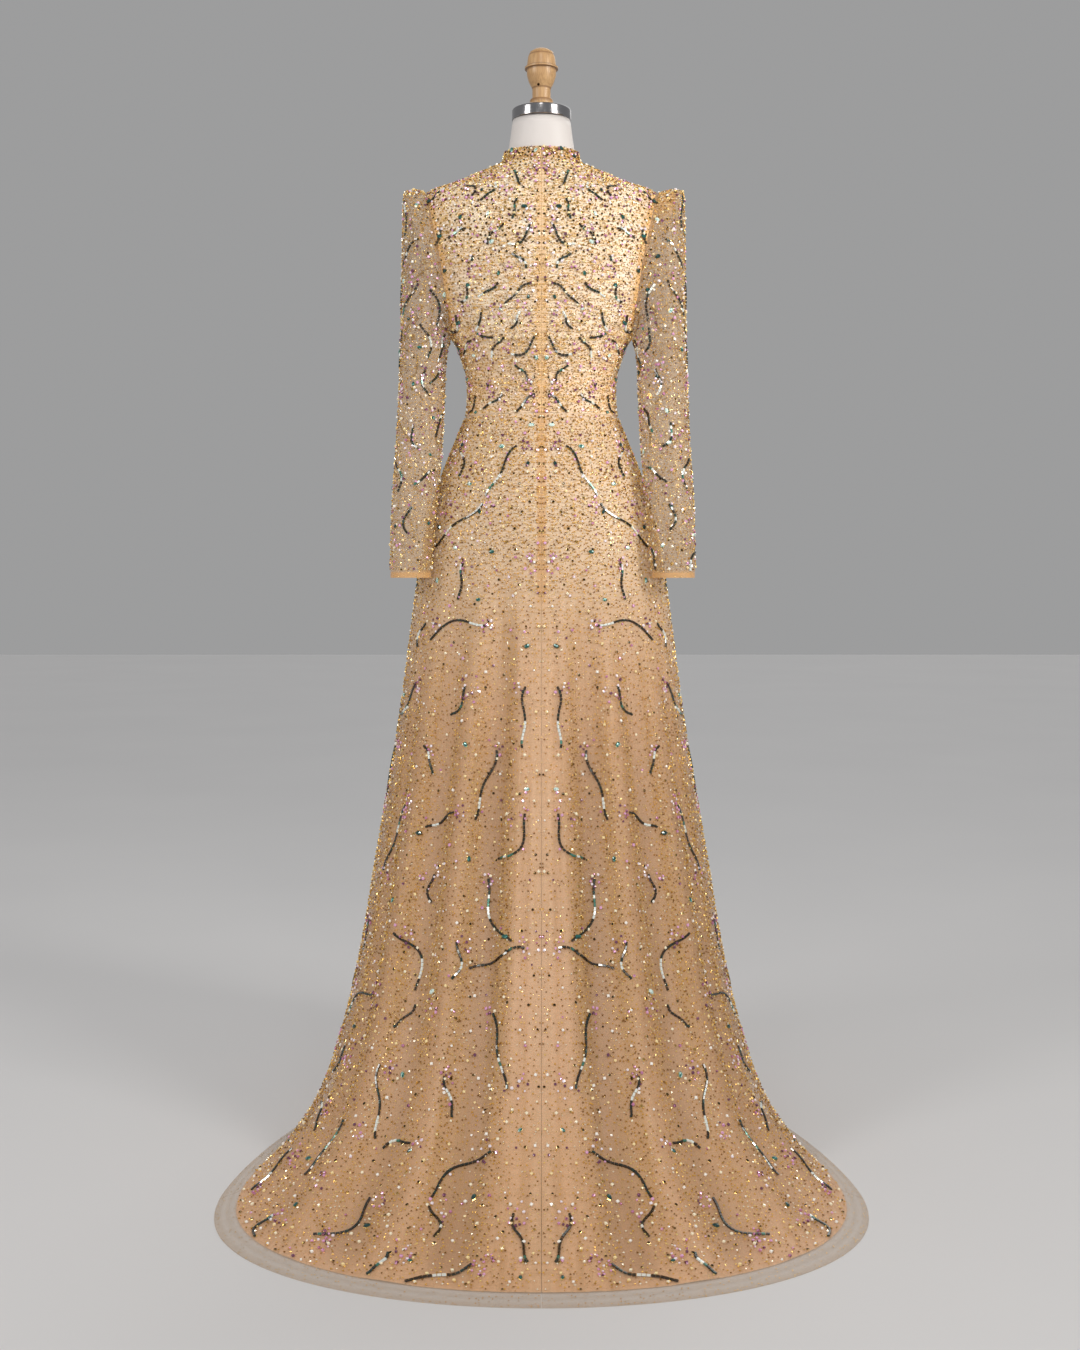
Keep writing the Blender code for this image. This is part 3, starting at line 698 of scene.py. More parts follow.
@dataclass(frozen=True)
class PlainFinish:
    """A colour with patterns of other tones over it, and a grain that breaks up its gloss."""

    name: str
    base: Colour
    tones: tuple[tuple[Pattern, Colour], ...] = ()
    grain: Pattern | None = None
    rough: Span = (0.7, 0.7)
    values: tuple[tuple[str, float], ...] = ()  # constants on the shader's sockets
    grooves_and_hole_shade: Colour | None = None  # the colour of the dark rings at the grooves and of the painted shade in a hole, where that mark is set

    def make(self) -> bpy.types.Material:
        """Builds the material."""
        w = Wiring(self.name, Base_Color=self.base, Roughness=self.rough[0], **dict(self.values))
        colour = self.base
        for pattern, tone in self.tones:
            colour = w.mix(w.shown(w.noise(w.place, pattern), pattern), colour, tone)
        # dark rings at the grooves, and painted shade inside the hole
        if self.grooves_and_hole_shade:
            colour = w.mix(w.attribute("grooves_and_hole_shade"), colour, self.grooves_and_hole_shade)
        if isinstance(colour, Socket):
            w.join(colour, "Base Color")
        if self.grain:
            grain = w.noise(w.place, self.grain)
            w.join(w.between(grain, self.grain.start, self.grain.full, *self.rough), "Roughness")
            w.emboss(grain, self.grain)
        return w.material


FORM_COVER = PlainFinish(
    "form_cover",
    (0.69, 0.65, 0.625),
    ((Pattern(9.0, 2.0, 0.35, 0.75, 0.5), (0.61, 0.57, 0.54)),),
    Pattern((1400.0, 1400.0, 700.0), 1.0, 0.3, 0.7, depth=0.0003, strength=0.35),
    (0.38, 0.52),
    (("Sheen_Weight", 0.15), ("Specular_IOR_Level", 0.4)),
)
BRIGHT_PLATE = PlainFinish(
    "bright_plate",
    (0.34, 0.335, 0.345),
    grain=Pattern((40.0, 40.0, 1500.0), 3.0, 0.3, 0.8, depth=0.0001, strength=0.3),
    rough=(0.10, 0.24),
    values=(("Metallic", 1.0),),
)
DARK_WOOD = (0.36, 0.19, 0.075)
WOOD_GRAIN = ((520.0, 520.0, 42.0), 4.0)
TURNED_WOOD = PlainFinish(
    "turned_wood",
    (0.60, 0.37, 0.17),
    (
        (Pattern(*WOOD_GRAIN, 0.42, 0.72, 0.7), DARK_WOOD),
        (Pattern((60.0, 60.0, 9.0), 2.0, 0.4, 0.75, 0.5), DARK_WOOD),
    ),
    Pattern(*WOOD_GRAIN, 0.3, 0.8, depth=0.0003, strength=0.4),
    (0.34, 0.55),
    (("Coat_Weight", 0.15), ("Coat_Roughness", 0.25)),
    grooves_and_hole_shade=(0.20, 0.095, 0.035),
)
SATIN_ENAMEL = PlainFinish(
    "satin_enamel",
    (0.80, 0.79, 0.775),
    ((Pattern(11.0, 3.0, 0.45, 0.8, 0.6), (0.66, 0.65, 0.63)),),
    Pattern(260.0, 2.0, 0.3, 0.7, depth=0.0003, strength=0.25),
    (0.30, 0.42),
)
FLOOR_PAPER = PlainFinish("floor_paper", (0.70, 0.70, 0.705), ((Pattern(1.5, 2.0), (0.66, 0.66, 0.668)),))


@dataclass(frozen=True)
class ZipTape:
    """Woven tape, with its ribs across."""

    warp: Colour = (0.74, 0.44, 0.17)
    weft: Colour = (0.56, 0.30, 0.10)
    ribs: float = 220.0
    fuzz: Pattern = Pattern(500.0, 2.0, 0.2, 0.8)
    relief: Span = (0.0004, 0.6)

    def make(self) -> bpy.types.Material:
        """Builds the material."""
        w = Wiring("zip_tape", Roughness=0.7, Sheen_Weight=0.2)
        inputs = {"Vector": w.place, "Scale": self.ribs}
        rib = w.result("Fac", "ShaderNodeTexWave", inputs, bands_direction="Z")
        fuzz = w.shown(w.noise(w.place, self.fuzz), self.fuzz)
        w.join(w.mix(w.times(rib, fuzz), self.warp, self.weft), "Base Color")
        w.bump(rib, *self.relief)
        return w.material


@dataclass(frozen=True)
class BeadFinish:
    """Glass or metal beads whose colours follow the mark "tint"."""

    name: str
    stops: tuple[tuple[float, Colour], ...]
    roughness: float
    metallic: float = 0.0
    coat: float = 0.0
    painted_facet_glints: float = 0.0  # how far the facets of one bead differ in colour, which paints glints on some of them
    facet: Pattern = Pattern(330.0, 1.0)

    def make(self) -> bpy.types.Material:
        """Builds the material."""
        w = Wiring(self.name, Metallic=self.metallic, Coat_Weight=self.coat, Coat_Roughness=0.05)
        w.shader.inputs["Roughness"].default_value = self.roughness
        tint = w.attribute("tint")
        # painted glints: noise moves some facets up to the ramp's pale stops
        if self.painted_facet_glints:
            grain = w.math("SUBTRACT", w.noise(w.place, self.facet), 0.5)
            tint = w.plus(tint, w.times(grain, self.painted_facet_glints))
        w.join(w.ramp(tint, dict(self.stops)), "Base Color")
        return w.material


GOLD_SEEDS = BeadFinish(
    "gold_seed_beads",
    (
        (0.0, (0.26, 0.125, 0.022)),
        (0.20, (0.52, 0.28, 0.045)),
        (0.46, (0.80, 0.48, 0.10)),
        (0.76, (0.97, 0.74, 0.28)),
        # the near-white seeds are partly white beads, partly painted glints
        (0.90, (1.0, 0.95, 0.78)),
    ),
    0.26,
    0.38,
)
SEQUIN_EYES = BeadFinish(
    "sequin_eyes",
    ((0.0, (0.045, 0.028, 0.010)), (0.45, (0.12, 0.07, 0.02)), (0.8, (0.40, 0.25, 0.07))),
    0.14,
    0.5,
)
BUGLE_GLASS = BeadFinish(
    "bugle_glass",
    (
        (0.0, (0.030, 0.020, 0.012)),
        (0.35, (0.016, 0.020, 0.013)),
        (0.65, (0.010, 0.036, 0.029)),
        # the teal and near-white tints are painted glints
        (0.90, (0.05, 0.20, 0.15)),
        (0.925, (0.90, 0.97, 0.93)),
    ),
    0.14,
    0.3,
    1.0,
)
TEAL_GLASS = BeadFinish(
    "teal_glass",
    (
        (0.0, (0.006, 0.045, 0.042)),
        (0.40, (0.012, 0.12, 0.105)),
        (0.66, (0.16, 0.42, 0.36)),
        # the palest stop is a painted glint
        (0.80, (0.78, 0.96, 0.90)),
    ),
    0.06,
    0.2,
    1.0,
    painted_facet_glints=1.1,
)
ROSE_GLASS = BeadFinish(
    "rose_glass",
    (
        (0.0, (0.17, 0.05, 0.11)),
        (0.26, (0.58, 0.22, 0.40)),
        (0.46, (0.84, 0.44, 0.72)),
        # the palest stop is partly pale pink glass, partly a painted glint
        (0.76, (1.0, 0.90, 0.97)),
    ),
    0.08,
    0.2,
    1.0,
    painted_facet_glints=0.5,
)
PEARL = BeadFinish(
    "pearl", ((0.0, (0.98, 0.78, 0.40)), (0.42, (1.0, 0.91, 0.68)), (0.72, (1.0, 0.98, 0.92))), 0.16, 0.0, 0.6
)
ZIP_COIL = BeadFinish("zip_coil", ((0.0, (0.70, 0.42, 0.16)), (0.5, (0.80, 0.52, 0.22))), 0.4)
CUP_METAL = BeadFinish("cup_metal", ((0.0, (0.70, 0.45, 0.16)), (0.6, (0.88, 0.66, 0.30))), 0.22, 0.95)


SLEEVE_TULLE = Tulle("sleeve_tulle", (0.64, 0.42, 0.22), (0.74, 0.46, 0.16), 0.17, 0.26)
SKIRT_TULLE = Tulle("skirt_tulle", (0.74, 0.49, 0.29), (0.58, 0.335, 0.115), 0.22, 0.10)


@cache
def made(finish: object) -> bpy.types.Material:
    """The material of a finish, which is made once."""
    return finish.make()


def dress(obj: bpy.types.Object, finish: object, slot: str, *nodes: str) -> bpy.types.Object:
    """Gives a piece its finish, its body and the nodes that it stands for.

    Args:
        obj: The piece, with its place in its mesh.
        finish: Its finish, or None where its mesh has its materials already.
        slot: Not used.
        nodes: The solids that it replaces.

    Returns:
        The piece.
    """
    if finish is not None:
        obj.data.materials.append(made(finish))
    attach(obj, BODY)
    if nodes:
        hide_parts(*nodes)
    obj.data.calc_loop_triangles()
    LOG.info("%s: %d triangles", obj.name, len(obj.data.loop_triangles))
    return obj


def add_cloth(
    wall: Wall, finish: object, slot: str
) -> bpy.types.Object:
    """Adds a cloth piece, which replaces the solid of the same name.

    Args:
        wall: The cloth, named after its solid.
        finish: Its finish.
        slot: Passed on to dress, which does not use it.

    Returns:
        The piece.
    """
    obj = dress(new_object(f"{wall.name}_cloth", wall.mesh()), finish, slot, wall.name)
    return obj


# ---- Bodice and collar ----
@dataclass(frozen=True)
class BodiceRow:
    """One section of the bodice, from the centre back or centre front to the side edge."""

    height: float
    side_x: float
    back_edge: float
    front_edge: float
    back_y: float
    front_y: float
    turn: float
    back_peak: float
    front_peak: float
    drop: float


BODICE_ROWS = rows_of(
    BodiceRow,
    (1.1303, 0.1240, 0.000, 0.000, 0.0860, 0.0910, 90, 0.95, 0.95, 0.000),
    (1.1650, 0.1208, 0.000, 0.000, 0.0835, 0.0890, 90, 0.95, 0.95, 0.000),
    (1.1950, 0.1222, 0.000, 0.000, 0.0845, 0.0950, 90, 0.95, 0.92, 0.000),
    (1.2250, 0.1310, 0.000, 0.000, 0.0880, 0.1110, 90, 0.92, 0.88, 0.000),
    (1.2480, 0.1400, 0.000, 0.000, 0.0915, 0.1260, 90, 0.92, 0.84, 0.000),
    (1.2620, 0.1480, 0.000, 0.000, 0.0940, 0.1310, 90, 0.92, 0.82, 0.000),
    (1.2710, 0.1487, 0.022, 0.024, 0.0950, 0.1325, 82, 0.94, 0.82, 0.000),
    (1.2970, 0.1515, 0.040, 0.044, 0.0985, 0.1320, 72, 0.96, 0.84, 0.000),
    (1.3355, 0.1570, 0.053, 0.058, 0.1020, 0.1240, 65, 1.00, 0.90, 0.000),
    (1.3810, 0.1635, 0.057, 0.062, 0.1035, 0.1090, 61, 1.00, 1.00, 0.000),
    (1.4265, 0.1730, 0.053, 0.058, 0.1005, 0.0930, 61, 1.00, 1.00, 0.000),
    (1.4650, 0.1810, 0.040, 0.044, 0.0930, 0.0790, 66, 1.05, 1.05, 0.001),
    (1.4910, 0.1855, 0.022, 0.024, 0.0845, 0.0700, 76, 1.20, 1.20, 0.003),
    (1.4990, 0.1870, 0.000, 0.000, 0.0810, 0.0670, 90, 1.40, 1.40, 0.004),
    (1.5142, 0.1450, 0.000, 0.000, 0.0730, 0.0640, 90, 1.40, 1.35, 0.009),
    (1.5310, 0.1030, 0.000, 0.000, 0.0620, 0.0630, 90, 1.25, 1.20, 0.014),
    (1.5455, 0.0650, 0.000, 0.000, 0.0500, 0.0620, 90, 1.00, 1.00, 0.019),
)
BODICE_TABLE = np.array([astuple(row) for row in BODICE_ROWS])
UNDERARM_ROW, SHOULDER_ROW, NECK_ROW = 5, 13, len(BODICE_ROWS) - 1

BACK_CREASES = rows_of(
    Crease,
    (0.6, 0.55, 1.1, 0.16, 0.05, 0.0011),
    (1.1, 0.30, 1.3, 0.10, -0.04, 0.0008),
    (2.3, 0.78, 1.3, 0.10, 0.03, 0.0012),
    (4.3, 0.86, 1.4, 0.09, -0.03, 0.0012),
    (5.6, 0.62, 1.6, 0.08, 0.05, 0.0008),
    (9.4, 0.88, 2.2, 0.07, 0.01, 0.0012),
    (11.4, 0.72, 1.6, 0.07, -0.03, 0.0008),
    (13.8, 0.45, 1.2, 0.10, 0.06, 0.0007),
)
FRONT_CREASES = rows_of(
    Crease,
    (0.8, 0.46, 1.2, 0.13, 0.04, 0.0011),
    (2.2, 0.72, 1.5, 0.09, 0.05, 0.0013),
    (4.5, 0.90, 1.4, 0.08, -0.05, 0.0012),
    (7.4, 0.84, 1.6, 0.08, -0.02, 0.0012),
    (10.6, 0.70, 1.9, 0.08, -0.02, 0.0009),
    (13.4, 0.40, 1.3, 0.10, 0.05, 0.0008),
)


@dataclass
class BodiceSurface(Surface):
    """The bodice's back or front, with columns from 0 at the centre line to 1 at the left side edge."""

    front: bool = False
    row_limits: Span = (0.0, float(NECK_ROW))
    column_limits: Span = (-1.0, 1.0)
    downward: float = -1.0
    crinkles: tuple[tuple[float, float, float], ...] = ((0.0130, 5.0, 0.00022), (0.0092, 11.0, 0.00018))

    def __post_init__(self) -> None:
        """Sets which way is out."""
        self.outward = 1.0 if self.front else -1.0

    def base(self, rows: Array, columns: Array) -> Array:
        """The smooth surface.

        Args:
            rows: Row places.
            columns: Column places.

        Returns:
            The point at each place.
        """
        height, side_x, back_edge, front_edge, back_y, front_y, turn, back_peak, front_peak, drop = read_rows(
            BODICE_TABLE, rows
        ).T
        if self.front:
            edge, depth, peak = front_edge, front_y, front_peak
        else:
            edge, depth, peak = back_edge, back_y, back_peak
        full = np.radians(turn)
        angle = full * np.abs(columns)
        end = np.maximum(np.cos(full), 0.0) ** peak
        forward = edge + (depth - edge) * (np.maximum(np.cos(angle), 0.0) ** peak - end) / (1 - end)
        sideways = np.sign(columns) * side_x * np.sin(angle) / np.sin(full)
        fall = drop * np.cos(angle) ** 2 if self.front else 0.0
        return np.stack([sideways, -forward if self.front else forward, height - fall], axis=1)

    def relief(self, rows: Array, columns: Array) -> Array:
        """Soft creases and the tulle's fine crinkles, which fade out at the seams.

        Args:
            rows: Row places.
            columns: Column places.

        Returns:
            How far each place stands out.
        """
        aside = np.abs(columns)
        total = -crease_depth(FRONT_CREASES if self.front else BACK_CREASES, rows, aside)
        heights = read_rows(BODICE_TABLE[:, :1], rows)[:, 0]
        for pitch, waves, rise in self.crinkles:
            sway = 0.3 * pitch * np.sin(waves * aside)
            level = heights + sway + 0.2 * pitch * np.sin(2.7 * waves * aside + 1.0)
            total += rise * np.sin(math.tau * level / pitch)
        ends = smooth_step(rows, 0.0, 0.6) * smooth_step(NECK_ROW - rows, 0.0, 0.6)
        return total * ends * smooth_step(1 - aside, 0.0, 0.04)


@dataclass
class Bodice:
    """The fitted bodice: a front cut on the fold and the two halves of the back."""

    rows: int = 132
    half_columns: int = 36
    seam_inset: float = 0.001  # half a seam's gap, as a share of the panel
    band_width: float = 0.085  # of the armhole's facing, as a share of the panel
    stripe: float = 0.0085  # half the width of the centre-back stripe
    tan_and_shade_rows: tuple[float, ...] = (0.0, 1.6, 4.0, 7.0, 16.0)
    tan_and_shade_levels: tuple[float, ...] = (0.66, 0.62, 0.42, 0.20, 0.0)  # how tan the cloth is at those rows, darkest at the waist: partly its own tone, partly painted shade
    side_tan_and_shade: float = 0.6  # and how much more so at the side edges: partly its own tone, partly painted shade
    side_start: float = 0.72
    stripe_share: float = 0.8
    band_share: float = 0.75

    def marks(self, rows: Array, columns: Array, points: Array, front: bool) -> dict[str, Array]:
        """How tan the cloth is, partly its own tone and partly painted shade, and where the facings and the
        stripe show.

        Args:
            rows: The grid's row places.
            columns: The grid's column places.
            points: The grid's points.
            front: Whether it is the front.

        Returns:
            The marks by name, each rows by columns.
        """
        aside = np.abs(columns)[None, :]
        # darker tan towards the waist and at the side edges: partly the cloth's own tone, partly painted
        # shade
        tan = np.interp(rows, self.tan_and_shade_rows, self.tan_and_shade_levels)[:, None] * np.ones_like(aside)
        tan = np.clip(tan + self.side_tan_and_shade * smooth_step(aside, self.side_start, 1.0), 0.0, 1.0)
        held = smooth_step(rows, UNDERARM_ROW - 0.4, UNDERARM_ROW + 0.6)[:, None]
        held = held * smooth_step(SHOULDER_ROW + 0.5 - rows, 0.0, 0.6)[:, None]
        band = held * smooth_step(aside, 1 - self.band_width, 1 - 0.75 * self.band_width)
        if not front:
            stripe = 1 - smooth_step(np.abs(points[..., 0]), 0.7 * self.stripe, self.stripe)
            band = np.maximum(band, self.stripe_share * stripe)
        return {"tan": tan, "band": self.band_share * band}

    def wall(self, name: str, columns: Array, side: Side, front: bool) -> Wall:
        """One panel's wall.

        Args:
            name: The solid's name.
            columns: The grid's column places.
            side: The wearer's side, which is left for a whole front.
            front: Whether it is the front.

        Returns:
            The wall.
        """
        rows = np.linspace(0.0, NECK_ROW, self.rows)
        points, normals = BodiceSurface(front=front).grid(rows, columns)
        inner = level_ends(inward(points, normals, CLOTH), points)
        marks = self.marks(rows, columns, points, front)
        if side is Side.RIGHT:
            points, inner = mirrored(points), mirrored(inner)
        return Wall(name, points, inner, marks=marks)

    def build(self, beadwork: "Beadwork") -> None:
        """Builds and dresses the three panels with their beads.

        Args:
            beadwork: What sews the beads on.
        """
        edge = self.seam_inset
        half = np.linspace(edge, 1 - edge, self.half_columns)
        whole = np.linspace(-1 + edge, 1 - edge, 2 * self.half_columns - 1)
        for side in Side:
            name = f"bodice_back_{side.word}"
            beads = beadwork.sew(name, [BodiceBeads(front=False).beads(side)], "beaded_cloth")
            wall = self.wall(name, half, side, front=False)
            add_cloth(wall, BeadedCloth(), "beaded_cloth")
        both = [BodiceBeads(front=True).beads(side) for side in Side]
        beads = beadwork.sew("bodice_front", both, "beaded_cloth")
        wall = self.wall("bodice_front", whole, Side.LEFT, front=True)
        add_cloth(wall, BeadedCloth(), "beaded_cloth")


@dataclass(frozen=True)
class CollarRow:
    """One ring of the stand collar, above the neckline."""

    rise: float
    half_width: float
    back_y: float
    front_y: float


COLLAR_ROWS = rows_of(
    CollarRow,
    (0.0003, 0.0650, 0.0500, 0.0620),
    (0.0098, 0.0622, 0.0477, 0.0590),
    (0.0195, 0.0602, 0.0462, 0.0572),
)
COLLAR_TABLE = np.array([astuple(row) for row in COLLAR_ROWS])


@dataclass
class CollarSurface(Surface):
    """The collar, with columns in radians from the centre back towards the wearer's left."""

    row_limits: Span = (0.0, 2.0)
    outward: float = -1.0
    downward: float = -1.0

    def base(self, rows: Array, columns: Array) -> Array:
        """The smooth surface."""
        rise, half_width, back_y, front_y = read_rows(COLLAR_TABLE, rows).T
        away = np.cos(columns)
        neck = BODICE_ROWS[NECK_ROW]
        fall = np.where(away < 0, neck.drop * away**2, 0.0)
        y = np.where(away < 0, front_y, back_y) * away
        return np.stack([half_width * np.sin(columns), y, neck.height - fall + rise], axis=1)


@dataclass
class Collar:
    """The small stand collar, open at the centre back over the zip."""

    rows: int = 14
    columns: int = 150
    opening: float = 0.003  # radians from the centre back to the collar's end

    def build(self, beadwork: "Beadwork") -> None:
        """Builds and dresses the collar with its beads.

        Args:
            beadwork: What sews the beads on.
        """
        rows = np.linspace(0.0, 2.0, self.rows)
        columns = np.linspace(self.opening, math.tau - self.opening, self.columns)
        points, normals = CollarSurface().grid(rows, columns)
        inner = level_ends(inward(points, normals, COLLAR_CLOTH), points)
        ones = np.ones(points.shape[:2])
        wall = Wall("collar", points, inner, marks={"tan": 0.95 * ones, "band": 0.0 * ones})
        beads = beadwork.sew("collar", [CollarBeads().beads(Side.LEFT)], "beaded_cloth")
        add_cloth(wall, BeadedCloth(), "beaded_cloth")


# ---- Sleeves ----
@dataclass(frozen=True)
class SleeveRow:
    """One ring of the sleeve, from a point on its inner length to one on its outer length."""

    inner_x: float
    inner_z: float
    outer_x: float
    outer_z: float
    half_depth: float
    mid_y: float


SLEEVE_ROWS = rows_of(
    SleeveRow,
    (0.1500, 1.2590, 0.2070, 1.5035, 0.0615, 0.000),
    (0.1515, 1.2530, 0.2225, 1.5010, 0.0620, 0.000),
    (0.1545, 1.2440, 0.2262, 1.4820, 0.0605, 0.001),
    (0.1565, 1.2290, 0.2272, 1.4350, 0.0565, 0.004),
    (0.1580, 1.2060, 0.2280, 1.3600, 0.0520, 0.010),
    (0.1590, 1.1650, 0.2290, 1.2700, 0.0475, 0.019),
    (0.1600, 1.1200, 0.2305, 1.1800, 0.0445, 0.031),
    (0.1620, 1.0700, 0.2330, 1.0950, 0.0415, 0.045),
    (0.1650, 1.0200, 0.2360, 1.0300, 0.0385, 0.062),
    (0.1690, 0.9700, 0.2380, 0.9750, 0.0350, 0.078),
    (0.1725, 0.9200, 0.2385, 0.9220, 0.0315, 0.089),
    (0.1745, 0.8680, 0.2390, 0.8680, 0.0290, 0.097),
)
CUFF_ROW = len(SLEEVE_ROWS)
SEAM_STEPS = 2 * (SHOULDER_ROW - UNDERARM_ROW)  # bodice rows once round the armhole

SLEEVE_CREASES = rows_of(
    Crease,
    (2.4, 1.9, 0.9, 0.16, 0.25, 0.0020),
    (2.8, 0.5, 1.2, 0.30, 0.30, 0.0024),
    (4.2, 1.3, 1.3, 0.22, -0.28, 0.0022),
    (4.6, 2.6, 1.8, 0.20, 0.12, 0.0014),
    (5.6, 0.8, 1.0, 0.26, 0.55, 0.0026),
    (6.3, 1.6, 0.8, 0.22, 0.60, 0.0022),
    (6.9, 0.9, 0.7, 0.24, -0.62, 0.0024),
    (7.6, 1.9, 1.0, 0.22, -0.40, 0.0018),
    (8.8, 1.2, 1.1, 0.22, 0.26, 0.0018),
    (9.6, 2.3, 1.3, 0.20, 0.14, 0.0012),
    (5.2, 4.4, 1.6, 0.26, -0.30, 0.0022),
    (7.4, 4.9, 1.1, 0.26, 0.44, 0.0022),
    (9.2, 4.2, 1.3, 0.24, -0.18, 0.0015),
    (3.4, 3.9, 1.3, 0.22, 0.16, 0.0016),
)


@dataclass
class SleeveSurface(Surface):
    """A left sleeve, with columns in radians from the underarm up the back of the arm."""

    head_extra: float = 0.0  # how much further out the head stands
    extra_rows: float = 20.0  # over which that would die away
    row_limits: Span = (0.0, float(CUFF_ROW))

    def base(self, rows: Array, columns: Array) -> Array:
        """The smooth surface.

        Args:
            rows: Row places.
            columns: Column places.

        Returns:
            The point at each place.
        """
        round_place = (columns % math.tau) / math.tau * SEAM_STEPS
        half = SEAM_STEPS / 2
        ones = np.ones(len(columns))
        back_rows = np.minimum(UNDERARM_ROW + round_place, SHOULDER_ROW)
        front_rows = np.minimum(SHOULDER_ROW + half - round_place, SHOULDER_ROW)
        up = BodiceSurface(front=False).base(back_rows, ones)
        down = BodiceSurface(front=True).base(front_rows, ones)
        seam = np.where((round_place <= half)[:, None], up, down) + np.array([SEAM_GAP, 0.0, 0.0])
        rings = [seam]
        for number, ring in enumerate(SLEEVE_ROWS, start=1):
            wider = self.head_extra * (1 - number / self.extra_rows)
            inner = np.array([ring.inner_x, ring.mid_y, ring.inner_z])
            outer = np.array([ring.outer_x + wider, ring.mid_y, ring.outer_z])
            reach = np.cos(columns)[:, None] * (outer - inner) / 2
            aside = np.sin(columns)[:, None] * np.array([0.0, ring.half_depth, 0.0])
            rings.append((inner + outer) / 2 - reach + aside)
        return read_rows(np.stack(rings), rows)

    def relief(self, rows: Array, columns: Array) -> Array:
        """Soft creases, which fade out at the armhole and the cuff."""
        total = -crease_depth(SLEEVE_CREASES, rows, columns, math.tau)
        return total * smooth_step(rows, 0.2, 1.4) * smooth_step(CUFF_ROW - rows, 0.0, 0.8)


@dataclass
class Sleeves:
    """The two long sheer sleeves with plain open cuffs."""

    rows: int = 104
    columns: int = 52
    right_head_extra: float = 0.009
    patch: Crease = Crease(0.8, 2.55, 0.9, 0.5, 0.0, 0.85)  # where the right head's allowances show through
    cloth: float = 0.0008
    head_rows: float = 3.0  # the rows of the head, which hold a third of the grid
    cuff_band: Span = (0.20, 0.14)  # rows from the cuff at which its facing starts and is full
    head_band: Span = (0.25, 0.45)  # rows from the armhole over which its facing fades out
    cuff_share: float = 0.75
    head_share: float = 0.55

    def surface(self, side: Side) -> SleeveSurface:
        """The side's surface, as it would be on the wearer's left."""
        return SleeveSurface(head_extra=self.right_head_extra if side is Side.RIGHT else 0.0)

    def build(self, beadwork: "Beadwork") -> None:
        """Builds and dresses both sleeves with their beads.

        Args:
            beadwork: What sews the beads on.
        """
        head = np.linspace(0.0, self.head_rows, self.rows // 3, endpoint=False)
        rows = np.append(head, np.linspace(self.head_rows, CUFF_ROW, self.rows - len(head)))
        columns = np.linspace(0.0, math.tau, self.columns, endpoint=False)
        for side in Side:
            surface = self.surface(side)
            points, normals = surface.grid(rows, columns)
            inner = inward(points, normals, self.cloth)
            inner[0, :, 0] = np.maximum(inner[0, :, 0], points[0, :, 0])
            inner[-1, :, 2] = points[-1, :, 2]
            cuff = self.cuff_share * smooth_step(rows, *(CUFF_ROW - away for away in self.cuff_band))
            head = self.head_share * (1 - smooth_step(rows, *self.head_band))
            band = np.maximum(cuff, head)[:, None] * np.ones(len(columns))[None, :]
            if side is Side.RIGHT:
                place = (g.ravel() for g in np.meshgrid(rows, columns, indexing="ij"))
                band = np.maximum(band, crease_depth([self.patch], *place, math.tau).reshape(band.shape))
                points, inner = mirrored(points), mirrored(inner)
            name = f"sleeve_{side.word}"
            wall = Wall(name, points, inner, closed=True, marks={"band": band})
            beads = beadwork.sew(name, [SleeveBeads(surface).beads(side)], "tulle")
            add_cloth(wall, SLEEVE_TULLE, "tulle")


# ---- Skirt ----
@dataclass(frozen=True)
class SkirtRow:
    """One section of the skirt, all the way round."""

    height: float
    half_width: float
    widest_y: float
    back_y: float
    front_y: float
    back_peak: float
    front_peak: float
    gather: float
    side_gap: float
    back_gap: float


SKIRT_ROWS = rows_of(
    SkirtRow,
    (1.1300, 0.1240, 0.000, 0.086, 0.091, 0.95, 0.95, 0.00, 0.0003, 0.0003),
    (1.0850, 0.1430, 0.000, 0.103, 0.101, 0.93, 0.95, 0.00, 0.0125, 0.0015),
    (1.0300, 0.1640, 0.000, 0.122, 0.110, 0.92, 0.96, 0.00, 0.0155, 0.0020),
    (0.9600, 0.1840, 0.000, 0.136, 0.120, 0.91, 0.97, 0.02, 0.0125, 0.0020),
    (0.8700, 0.2015, 0.002, 0.147, 0.131, 0.90, 0.98, 0.12, 0.0125, 0.0025),
    (0.7750, 0.2145, 0.006, 0.160, 0.143, 0.90, 1.00, 0.50, 0.0120, 0.0030),
    (0.6500, 0.2305, 0.014, 0.184, 0.159, 0.90, 1.00, 0.85, 0.0115, 0.0030),
    (0.5200, 0.2510, 0.028, 0.216, 0.177, 0.90, 1.00, 1.00, 0.0110, 0.0030),
    (0.4000, 0.2700, 0.045, 0.252, 0.194, 0.90, 1.00, 1.00, 0.0100, 0.0030),
    (0.2800, 0.2880, 0.070, 0.300, 0.211, 0.90, 1.04, 0.90, 0.0080, 0.0030),
    (0.1700, 0.3110, 0.110, 0.360, 0.228, 0.90, 1.10, 0.80, 0.0100, 0.0030),
    (0.0850, 0.3390, 0.165, 0.436, 0.245, 0.88, 1.15, 0.70, 0.0160, 0.0025),
    (0.0320, 0.3780, 0.238, 0.530, 0.258, 0.86, 1.20, 0.50, 0.0110, 0.0012),
    (0.0110, 0.4040, 0.305, 0.605, 0.266, 0.85, 1.25, 0.30, 0.0030, 0.0003),
    (0.0028, 0.4260, 0.347, 0.650, 0.271, 0.85, 1.28, 0.15, 0.0003, 0.0003),
    (0.0010, 0.4510, 0.372, 0.687, 0.275, 0.86, 1.30, 0.00, 0.0003, 0.0003),
)
SKIRT_TABLE = np.array([astuple(row) for row in SKIRT_ROWS])
HEM_ROW = len(SKIRT_ROWS) - 1
LINING_HEM_ROW = HEM_ROW - 1


@dataclass(frozen=True)
class Fold:
    """A fold that hangs from the hips to the hem. A depth below zero stands out."""

    angle: float
    half_width: float
    depth: float


